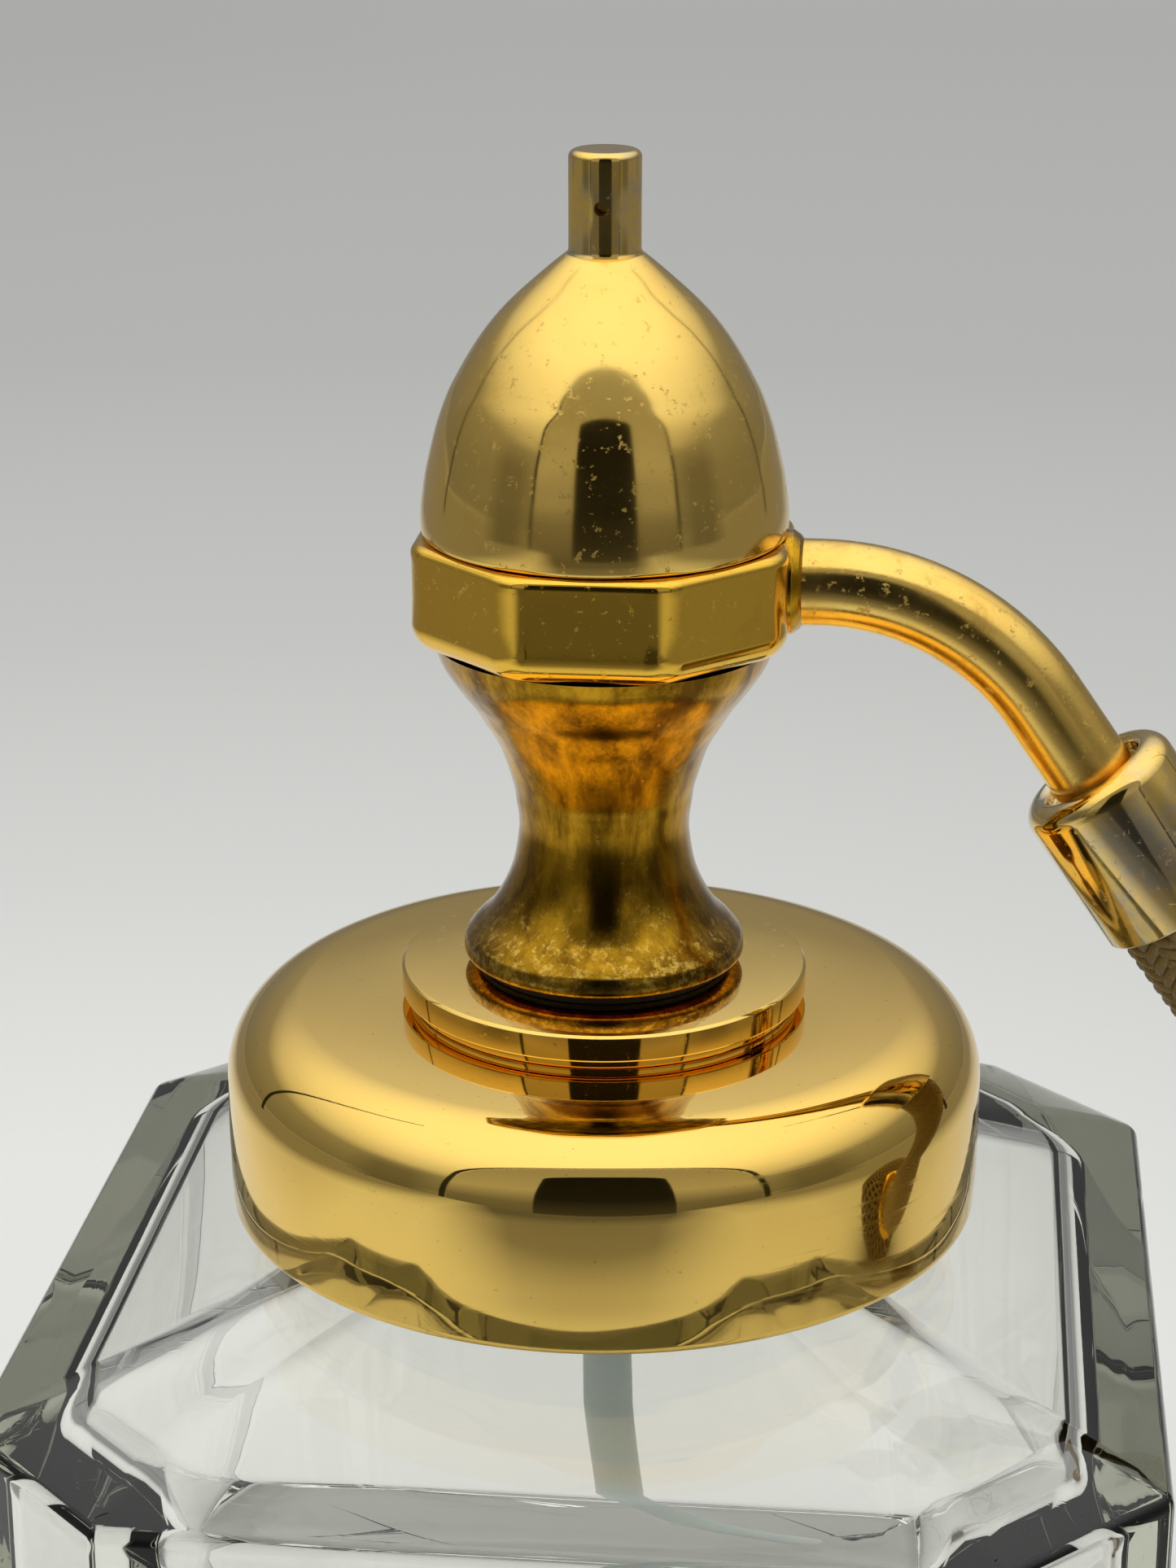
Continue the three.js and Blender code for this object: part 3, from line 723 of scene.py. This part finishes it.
TUBE_BEND_R = 15.5
TUBE_DROOP = math.radians(55)
TUBE_STRAIGHT = 1.75
TUBE_R, TUBE_BORE_R = 2.5, 1.7
FERRULE_LENGTH = 9.5
FERRULE_OFFSET = 5  # from the end of the bend to the ferrule's top


def tube_path():
    """The air tube's centreline: level out of the ring, round the bend, and straight into the ferrule."""
    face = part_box("octagon_ring")[1].x / MM
    z = centre("solder_collar").z
    bend = Vector((face + TUBE_STRAIGHT, 0, z))
    path = [Vector((face - 1.5, 0, z)), Vector((face, 0, z)), Vector((face + 1, 0, z))]
    for k in range(25):
        a = TUBE_DROOP * k / 24
        path.append(bend + TUBE_BEND_R * Vector((math.sin(a), 0, math.cos(a) - 1)))
    ahead = Vector((math.cos(TUBE_DROOP), 0, -math.sin(TUBE_DROOP)))
    end = path[-1]
    path += [end + ahead * s for s in (2, FERRULE_OFFSET, FERRULE_OFFSET + 2.5)]
    return path, end + ahead * FERRULE_OFFSET, ahead


def along(origin, ahead):
    """A placement whose +Z runs ahead from the origin, with +Y kept."""
    across = Vector((0, 1, 0))
    side = across.cross(ahead)
    return Matrix((
        (side.x, across.x, ahead.x, origin.x),
        (side.y, across.y, ahead.y, origin.y),
        (side.z, across.z, ahead.z, origin.z),
        (0, 0, 0, 1),
    ))


DIP_TUBE_R, DIP_TUBE_BORE_R = 1.5, 1.0
# the dip tube's centreline in the plane y = 0, as x and z
DIP_TUBE_ROUTE = [(0, 63.5), (0, 56), (0.2, 48), (0.8, 38), (2.2, 27), (6.2, 16.5), (12.5, 9.6)]

HOSE_ROUTE = [  # the CAD hose's centreline in the plane y = 0, as x and z
    (30.9, 81.1), (34.0, 76.7), (37.2, 72.4), (40.5, 68.1), (43.8, 63.9), (47.3, 59.8),
    (50.9, 55.8), (54.7, 52.0), (58.6, 48.3), (62.7, 44.8), (67.0, 41.6), (71.4, 38.6),
    (76.1, 35.9), (80.9, 33.5), (85.9, 31.5), (91.0, 29.8), (96.2, 28.5),
]
HOSE_R, HOSE_BORE_R = 4.15, 2.2
BRAID_STRANDS = 20  # each way round
BRAID_TURN = 17.6  # length of hose for one turn of a strand
STRAND_WIDTH = 0.78
STRAND_THICK = 0.34
STRAND_LIFT = 0.12
STRAND_SECTION = ((-1, -0.5), (-0.72, 0.12), (-0.3, 0.42), (0.3, 0.42), (0.72, 0.12), (1, -0.5))


def make_hose(rubber, thread):
    path = spline([Vector((x, 0, z)) for x, z in HOSE_ROUTE], 4)
    tube_r = HOSE_R - STRAND_THICK - STRAND_LIFT - 0.05
    tube = sweep("hose_tube", path, tube_r, HOSE_BORE_R, rubber, 32)
    lengths = [0.0]
    for a, b in zip(path, path[1:]):
        lengths.append(lengths[-1] + (b - a).length)
    frames = frames_along(path)

    def surface(s, angle, r):
        beyond = next((k for k, x in enumerate(lengths) if x > s), len(lengths))
        i = max(0, min(len(lengths) - 2, beyond - 1))
        t = (s - lengths[i]) / (lengths[i + 1] - lengths[i])
        point = frames[i][0].lerp(frames[i + 1][0], t)
        over = frames[i][2].lerp(frames[i + 1][2], t).normalized()
        return point + r * (math.cos(angle) * Vector((0, 1, 0)) + math.sin(angle) * over)

    total = lengths[-1]
    cross = BRAID_TURN / BRAID_STRANDS / 2  # length of hose between a strand's crossings
    vertices, faces = [], []
    for way in (1, -1):
        for n in range(BRAID_STRANDS):
            add_strand(vertices, faces, surface, total, cross, way, n)
    braid = make_object("hose_braid", vertices, faces, thread, flat_angle=60)
    return tube, braid


def add_strand(vertices, faces, surface, total, cross, way, n):
    """One flat strand that goes over two and under two of those that cross it."""
    lean = math.atan2(2 * math.pi * HOSE_R, BRAID_TURN)
    middle_r = HOSE_R - STRAND_THICK / 2 - STRAND_LIFT
    base = len(vertices)
    steps = round(total / cross * 2)
    for k in range(steps + 1):
        s = total * k / steps
        angle = 2 * math.pi * (n / BRAID_STRANDS + way * s / BRAID_TURN)
        phase = math.pi / 2 * (2 * n + way * s / cross) + math.pi / 4
        lift = way * STRAND_LIFT * max(-1, min(1, 1.4 * math.sin(phase)))
        for side, rise in STRAND_SECTION:
            off = side * STRAND_WIDTH / 2
            place = max(0, min(total, s - off * math.sin(lean)))
            around = angle + way * off * math.cos(lean) / HOSE_R
            vertices.append(surface(place, around, middle_r + lift + rise * STRAND_THICK))
    join_ribs(faces, base, len(STRAND_SECTION), steps)


def join_ribs(faces, base, ribs, steps):
    """Quads along a strand, whose cross-sections of so many points follow one another from base."""
    for k in range(steps):
        a, b = base + ribs * k, base + ribs * (k + 1)
        faces.extend((a + j, a + (j + 1) % ribs, b + (j + 1) % ribs, b + j) for j in range(ribs))


def make_ferrule(material, place):
    """The sleeve that holds the hose, with a fat rolled rim round a dark recess for the air tube."""
    r = 4.7
    length = FERRULE_LENGTH
    return revolve("ferrule", fillet([
        (TUBE_R + CLOSE, 1.5), (TUBE_R + CLOSE, 0.9, 0.1), (2.95, 0.9, 0.2), (3.15, 0, 0.5), (r, 0, 1.25),
        (r, length, 0.15), (HOSE_R + 0.1, length, 0.1), (HOSE_R + 0.1, 1.5), (TUBE_R + CLOSE, 1.5),
    ]), material, place, segments=96, flat_angle=35)


# ------------------------------ bulb

BULB_TILT = math.radians(12)
BULB_LENGTH = 54
BULB_R = 19.5
NET_STRANDS = 30  # each way round
NET_STEPS = 120
NET_TURN = 1.9  # how far round a strand goes from end to end, in radians
NET_WAVES = 36  # how often a strand goes over and under
NET_LIFT = 0.16
NET_GAP = 0.45  # from the bulb's skin to the middle of the net
NET_SECTION = ((-1, -0.25), (-0.6, 0.12), (0, 0.28), (0.6, 0.12), (1, -0.25))


def bulb_place():
    ahead = Vector((math.cos(BULB_TILT), 0, -math.sin(BULB_TILT)))
    return along(centre("bulb_net"), ahead)


def ellipse(half_length, r, open_front, open_back, count):
    front, back = math.acos(open_front / r), math.acos(open_back / r)
    angles = [-front + (front + back) * i / count for i in range(count + 1)]
    return [(r * math.cos(a), half_length * math.sin(a)) for a in angles]


def make_bulb(rubber, thread):
    place = bulb_place()
    half = BULB_LENGTH / 2
    outer = ellipse(half, BULB_R, 5.2, 4.4, 40)
    inner = ellipse(half - 2, BULB_R - 2, 3.4, 4.4, 20)[::-1]
    end = -half - 6
    profile = [(3.4, end), (5.2, end), (5.2, -half + 0.6), *outer, *inner, (3.4, end)]
    bulb = revolve("bulb_skin", profile, rubber, place, segments=96)
    vertices, faces = [], []
    for way in (1, -1):
        for n in range(NET_STRANDS):
            add_net_strand(vertices, faces, place, half + NET_GAP, way, n)
    net = make_object("bulb_netting", vertices, faces, thread, flat_angle=60)
    return bulb, net


def add_net_strand(vertices, faces, place, half, way, n):
    """One flat strand of the net, from the bulb's neck to its tail."""
    base = len(vertices)
    front, back = math.acos(5.6 / BULB_R), math.acos(6 / BULB_R)
    girth = BULB_R + NET_GAP
    for k in range(NET_STEPS + 1):
        t = -front + (front + back) * k / NET_STEPS
        angle = 2 * math.pi * n / NET_STRANDS + way * NET_TURN * (k / NET_STEPS - 0.5)
        lift = way * NET_LIFT * math.sin(math.pi * (k / NET_STEPS * NET_WAVES + n))
        width = 0.8 * (0.25 + 0.55 * math.cos(t))
        for side, rise in NET_SECTION:
            turn = angle + side * width / max(girth * math.cos(t), 1)
            r = (girth + rise + lift) * math.cos(t)
            w = (half + rise + lift) * math.sin(t)
            vertices.append(place @ Vector((r * math.cos(turn), r * math.sin(turn), w)))
    join_ribs(faces, base, len(NET_SECTION), NET_STEPS)


def make_neck_ferrule(material):
    place = bulb_place()
    z0 = -41
    return revolve("bulb_ferrule", fillet([
        (HOSE_R + 0.1, z0), (5.9, z0, 0.4), (6.4, z0 + 0.9, 0.3), (6.4, z0 + 1.6, 0.15),
        (6.1, z0 + 1.9, 0.1), (6.4, z0 + 2.2, 0.15), (6.4, z0 + 11.2, 0.2), (6.15, z0 + 11.5, 0.1),
        (6.4, z0 + 11.8, 0.1), (6.4, z0 + 13.4, 0.5), (5.3, z0 + 13.4), (5.3, z0 + 7.4),
        (HOSE_R + 0.1, z0 + 7.4), (HOSE_R + 0.1, z0),
    ]), material, place, segments=80, flat_angle=35)


def make_tail(material):
    place = bulb_place()
    half = BULB_LENGTH / 2
    body = revolve("tail_valve_body", fillet([
        (0.9, half - 6), (4.1, half - 6), (4.1, half + 0.9), (6.5, half + 0.9, 0.3),
        (6.5, half + 2.6, 0.5), (0.9, half + 2.6), (0.9, half + 1), (1.8, half + 1), (1.8, half - 4),
        (0.9, half - 4), (0.9, half - 6),
    ]), material, place, segments=80, flat_angle=35)
    knurl_cap = revolve("tail_valve_cap", fillet([
        (1, half + 2.65), (5.5, half + 2.65, 0.15), (5.5, half + 3.2, 0.1), (5.25, half + 3.4, 0.1),
        (5.5, half + 3.6, 0.1), (5.5, half + 4.8, 0.5), (4.4, half + 6, 0.4), (1.5, half + 5.8, 0.3),
        (1, half + 5.2), (1, half + 2.65),
    ]), material, place, segments=80, flat_angle=35)
    return body, knurl_cap


# ------------------------------ make everything

make_camera()

glass = clear_glass()
polished = gold("polished_gold", 0.05, tarnish=0.1, pits=0.25)
dome_gold = gold("dome_gold", 0.10, tarnish=0.3, pits=0.45, warm=0.2)
ring_gold = gold("ring_gold", 0.08, tarnish=0.3, pits=0.4, grain=0.4, base=RING_GOLD)
tip_gold = gold("tip_gold", 0.09, tarnish=0.2, pits=0.3, worn=0.4)
stem_gold = aged_lacquer()
tube_gold = gold("tube_gold", 0.18, tarnish=0.6, pits=0.5, warm=0.8, grain=1.0)
ferrule_gold = gold("ferrule_gold", 0.07, tarnish=0.35, pits=0.4, worn=0.62)
brass = turned_brass()
steel = bright_steel()
rubber = bulb_rubber("bulb_rubber", (0.012, 0.010, 0.006), (0.03, 0.026, 0.016))
thread = braid_thread()

bottle = finish_piece(make_glass(glass), "bottle", "glass", "glass_bottle")
bottle.visible_shadow = False  # clear glass lets the room's light through to what it stands on
finish_piece(make_cap(cap_gold()), "bottle", "gold", "cap_shell")
collar_r, collar_top = radius("collar_flange"), top("collar_flange")
cap_top = top("cap_shell")
step_top = cap_top + STEP_SHARE * (collar_top - cap_top)
step_r = collar_r - STEP_INSET
lower_disc = make_disc("collar_lower", step_r, cap_top + CLOSE, step_top, polished, 0.08)
upper_disc = make_disc("collar_upper", collar_r, step_top + CLOSE, collar_top, polished, 0.16)
washer_r, washer_top = radius("seal_washer"), top("seal_washer") - WASHER_DROP
washer = make_disc("washer", washer_r, collar_top + CLOSE, washer_top, soft_black(), 0.05)
finish_piece(lower_disc, "bottle", "gold", "collar_step")
finish_piece(upper_disc, "bottle", "gold", "collar_flange")
finish_piece(washer, "washer", "black_rubber", "seal_washer")
finish_piece(make_stem(stem_gold), "head", "gold", "stem")
finish_piece(make_ring(ring_gold), "head", "gold", "octagon_ring")
finish_piece(make_dome(dome_gold), "head", "gold", "dome")
finish_piece(make_nozzle(tip_gold), "head", "gold", "nozzle_tip")

tube_line, ferrule_top, ahead = tube_path()
finish_piece(sweep("air_pipe", tube_line, TUBE_R, TUBE_BORE_R, tube_gold), "head", "gold", "air_tube")
ferrule_place = along(ferrule_top, ahead)
finish_piece(make_ferrule(ferrule_gold, ferrule_place), "head", "gold", "hose_ferrule")
solder_z = centre("solder_collar").z
ring_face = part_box("octagon_ring")[1].x / MM
solder_place = along(Vector((ring_face, 0, solder_z)), Vector((1, 0, 0)))
solder_bore = TUBE_R - 0.1
solder = revolve("solder_ring", fillet([
    (solder_bore, -0.4), (3.0, -0.4), (3.0, 0.1, 0.1), (2.72, 0.5, 0.2), (solder_bore, 0.75),
    (solder_bore, -0.4),
]), stem_gold, solder_place, segments=64)
finish_piece(solder, "head", "gold", "solder_collar")

hose, braid = make_hose(rubber, thread)
finish_piece(hose, "head", "bulb_rubber", "hose")
finish_piece(braid, "head", "braid")
bulb, net = make_bulb(rubber, thread)
finish_piece(bulb, "head", "bulb_rubber", "bulb")
finish_piece(net, "head", "braid", "bulb_net")
squeeze_line = bulb_place().col[2].to_3d()
# the bulb's axis, and the point on it 3 mm before the bulb
squeeze_from = bulb_place() @ Vector((0, 0, -BULB_LENGTH / 2 - 3))
for soft_piece in (bulb, net):
    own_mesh(soft_piece)
finish_piece(make_neck_ferrule(ring_gold), "head", "gold", "neck_ferrule")
tail_body, tail_cap = make_tail(ring_gold)
finish_piece(tail_body, "tail_valve", "gold", "inlet_valve_body")
finish_piece(tail_cap, "tail_valve", "gold", "inlet_valve_cap")

for node in ("neck_plug", "spindle", "spindle_nut", "spray_jet", "hose_barb", "outlet_valve_body"):
    dress(node, brass)
for node in ("liquid_tube", "outlet_valve_ball", "inlet_valve_ball"):
    dress(node, steel)
dress("cap_liner", moulded_plastic())
dress("neck_gasket", rubber)
dip_line = spline([Vector((x, 0, z)) for x, z in DIP_TUBE_ROUTE], 8)
suction_tube = sweep("suction_tube", dip_line, DIP_TUBE_R, DIP_TUBE_BORE_R, natural_tube(), 40)
finish_piece(suction_tube, "head", "dip_tube_plastic", "dip_tube")

# ------------------------------ stage and light

def glow(name, along, stops, border=None):
    """A lamp-like material whose grey changes along one of the object's own axes, in metres.
    With a border (x, y, width), it melts away over that width beyond x and y."""
    s = Shader(name)
    s.tree.nodes.remove(s.principled)
    coordinates = s.node("ShaderNodeTexCoord").outputs["Object"]
    split = s.node("ShaderNodeSeparateXYZ", {"Vector": coordinates})
    first, last = stops[0][0], stops[-1][0]
    greys = [((x - first) / (last - first), (g, g * 0.985, g * 0.95)) for x, g in stops]
    grey = s.ramp(s.spread(split.outputs[along], first, last), greys)
    kept = 1
    if border:
        x, y, width = border
        aside = s.spread(s.maths("ABSOLUTE", split.outputs["X"], 0), x, x + width, 1, 0)
        kept = s.maths("MULTIPLY", aside, s.spread(split.outputs["Y"], y, y + width, 1, 0))
    return see_through_glow(s, grey, kept)


def see_through_glow(s, grey, kept):
    """Finishes a glowing material that is clear where kept is 0."""
    light = s.node("ShaderNodeEmission", {"Color": grey})
    clear = s.node("ShaderNodeBsdfTransparent")
    blend = s.node("ShaderNodeMixShader", {"Fac": kept})
    s.tree.links.new(clear.outputs[0], blend.inputs[1])
    s.tree.links.new(light.outputs[0], blend.inputs[2])
    s.tree.links.new(blend.outputs[0], s.tree.nodes["Material Output"].inputs["Surface"])
    return s.material


def floor_glow():
    """What the metal sees of the floor further off: a shaded strip in front and dim sides, with
    soft borders."""
    s = Shader("floor_glow")
    s.tree.nodes.remove(s.principled)
    coordinates = s.node("ShaderNodeTexCoord").outputs["Object"]
    split = s.node("ShaderNodeSeparateXYZ", {"Vector": coordinates})
    aside = s.maths("ABSOLUTE", split.outputs["X"], 0)
    ahead = s.maths("MAXIMUM", s.maths("MULTIPLY", split.outputs["Y"], -1), 0)
    strip = s.spread(s.maths("SUBTRACT", aside, s.maths("MULTIPLY", ahead, 0.55)), -0.03, 0.06, 1, 0)
    front = s.maths("MULTIPLY", strip, s.spread(ahead, 0.09, 0.16))
    sides = s.spread(s.maths("SUBTRACT", aside, s.maths("MULTIPLY", ahead, 0.5)), 0.13, 0.27)
    greys = ((0, 0.30), (0.25, 0.2), (0.5, 0.12), (1, 0.13))
    shade = s.ramp(s.spread(ahead, 0.1, 0.5), [(place, (grey, grey, grey)) for place, grey in greys])
    grey = s.mix(sides, shade, (0.25, 0.245, 0.235, 1))
    return see_through_glow(s, grey, s.maths("MAXIMUM", front, sides))


def panel(name, outline, faces, middle, face, material):
    """A flat panel that only reflections and refractions see."""
    mesh = bpy.data.meshes.new(name)
    mesh.from_pydata([(x, y, 0) for x, y in outline], [], faces)
    mesh.materials.append(material)
    made = link(name, mesh)
    if face:
        made.rotation_mode = "QUATERNION"
        made.rotation_quaternion = Vector(face).to_track_quat("Z", "Y")
    made.location = middle
    made.visible_camera = False
    made.visible_diffuse = False
    made.visible_shadow = False
    return made


def card(name, middle, size, face, material):
    """A flat oblong panel."""
    w, h = size[0] / 2, size[1] / 2
    corners = [(-w, -h), (w, -h), (w, h), (-w, h)]
    return panel(name, corners, [(0, 1, 2, 3)], middle, None if face is UP else face, material)


def arch(half, height, crown_share=0.45):
    """A doorway's outline from its left foot round to its right one."""
    crown = crown_share * height
    turns = [math.radians(7.5 * k) for k in range(25)]
    over = [(-half * math.cos(t), height - crown + crown * math.sin(t)) for t in turns]
    return [(-half, 0), *over, (half, 0)]


def make_floor():
    paper = Shader("floor_paper").set(Roughness=0.9, Specular_IOR_Level=0.2)
    flat = paper.place(scale=(1, 1, 0))
    centred = paper.node("ShaderNodeVectorMath", {0: flat, 1: (-0.04, 0, 0)}, operation="SUBTRACT")
    outward = paper.node("ShaderNodeVectorMath", {0: centred.outputs["Vector"]}, operation="LENGTH")
    # painted pool of light: the paper's colour is lightest round the bottle and darkens further out,
    # standing in for the light's fall-off
    greys = ((0, 0.80), (0.12, 0.78), (0.20, 0.65), (0.30, 0.54), (0.50, 0.44), (1, 0.40))
    tones = [(place, (grey, grey * 1.012, grey * 0.99)) for place, grey in greys]
    shade = paper.ramp(paper.spread(outward.outputs["Value"], 0, 1.0), tones)
    paper.colour(paper.mix(paper.spread(paper.noise(900), 0.4, 0.6, 0, 0.04), shade, (0.6, 0.6, 0.6, 1)))
    mesh = bpy.data.meshes.new("floor")
    reach = 4
    corners = [(-reach, -reach, 0), (reach, -reach, 0), (reach, reach, 0), (-reach, reach, 0)]
    mesh.from_pydata(corners, [], [(0, 1, 2, 3)])
    mesh.materials.append(paper.material)
    floor = link("floor", mesh)


def make_backdrop():
    """A far grey wall that only the camera sees, where the floor would otherwise end."""
    turns = [math.radians(7.5 * k) for k in range(48)]
    far, high = 3.4, 4
    vertices = [(far * math.cos(t), far * math.sin(t), z) for z in (-0.1, high) for t in turns]
    count = len(turns)
    mesh = bpy.data.meshes.new("backdrop")
    faces = [(k, (k + 1) % count, count + (k + 1) % count, count + k) for k in range(count)]
    mesh.from_pydata(vertices, [], faces)
    mesh.materials.append(glow("backdrop_grey", "Z", [(0, 0.395), (0.5, 0.38), (high, 0.34)]))
    wall = link("backdrop", mesh)
    wall.visible_diffuse = False
    wall.visible_glossy = False
    wall.visible_transmission = False
    wall.visible_shadow = False


def make_sky():
    """Soft white light all over the top of the room, fading to dim walls."""
    world = bpy.data.worlds.new("room")
    bpy.context.scene.world = world
    world.use_nodes = True
    nodes = world.node_tree.nodes
    direction = nodes.new("ShaderNodeTexCoord").outputs["Generated"]
    split = nodes.new("ShaderNodeSeparateXYZ")
    ramp = nodes.new("ShaderNodeValToRGB")
    stops = ((0, 0.20), (0.17, 0.24), (0.33, 0.30), (0.45, 0.68), (0.62, 1.02), (0.80, 1.30), (1, 1.40))
    while len(ramp.color_ramp.elements) < len(stops):
        ramp.color_ramp.elements.new(0.5)
    for element, (position, grey) in zip(ramp.color_ramp.elements, stops):
        element.position = position
        element.color = (grey, grey, grey * 0.985, 1)
    for source, target in ((direction, split.inputs[0]), (split.outputs["Z"], ramp.inputs[0]),
                           (ramp.outputs["Color"], nodes["Background"].inputs["Color"])):
        world.node_tree.links.new(source, target)


def make_stage():
    make_floor()
    make_backdrop()
    make_sky()
    facing = Vector((math.sin(CAMERA_AZIMUTH), -math.cos(CAMERA_AZIMUTH), 0))

    def towards(degrees, distance, height):
        """A point that far away, at an angle round from the camera's side."""
        return Matrix.Rotation(math.radians(degrees), 3, "Z") @ facing * distance + UP * height

    doorway_greys = [(0, 0.14), (0.10, 0.17), (0.28, 0.42), (0.55, 0.36), (0.80, 0.34)]
    doorway = glow("doorway_card", "Y", doorway_greys)
    seam = glow("seam_card", "Y", [(0, 0.02), (1, 0.03)])
    inner = arch(0.50, 0.79)
    panel("doorway", inner, [tuple(range(len(inner)))], towards(0, 0.50, 0), -facing, doorway)
    outer = arch(0.535, 0.825)
    count = len(inner)
    strip = [(k, k + 1, count + k + 1, count + k) for k in range(count - 1)]
    panel("arch_seam", inner + outer, strip, towards(0, 0.495, 0), -facing, seam)
    dark = glow("dark_card", "Y", [(0, 0.05), (0.15, 0.014), (0.52, 0.006)])
    face = [tuple(range(count))]
    panel("camera_side", arch(0.15, 0.47, 0.12), face, towards(0, 0.42, 0), -facing, dark)
    wall = glow("wall_card", "Y", [(-0.25, 0.13), (0.25, 0.2)], border=(0.08, 0.02, 0.16))
    for sign in (-1, 1):
        card("wall", towards(63 * sign, 0.8, 0.25), (0.5, 0.5), -towards(63 * sign, 1, 0), wall)
        card("far_seam", towards(118 * sign, 0.85, 0.8), (0.022, 1.6), -towards(118 * sign, 1, 0), seam)
    card("floor_glow", UP * 0.001, (6, 6), UP, floor_glow())


make_stage()
bpy.context.scene.view_settings.view_transform = "Standard"
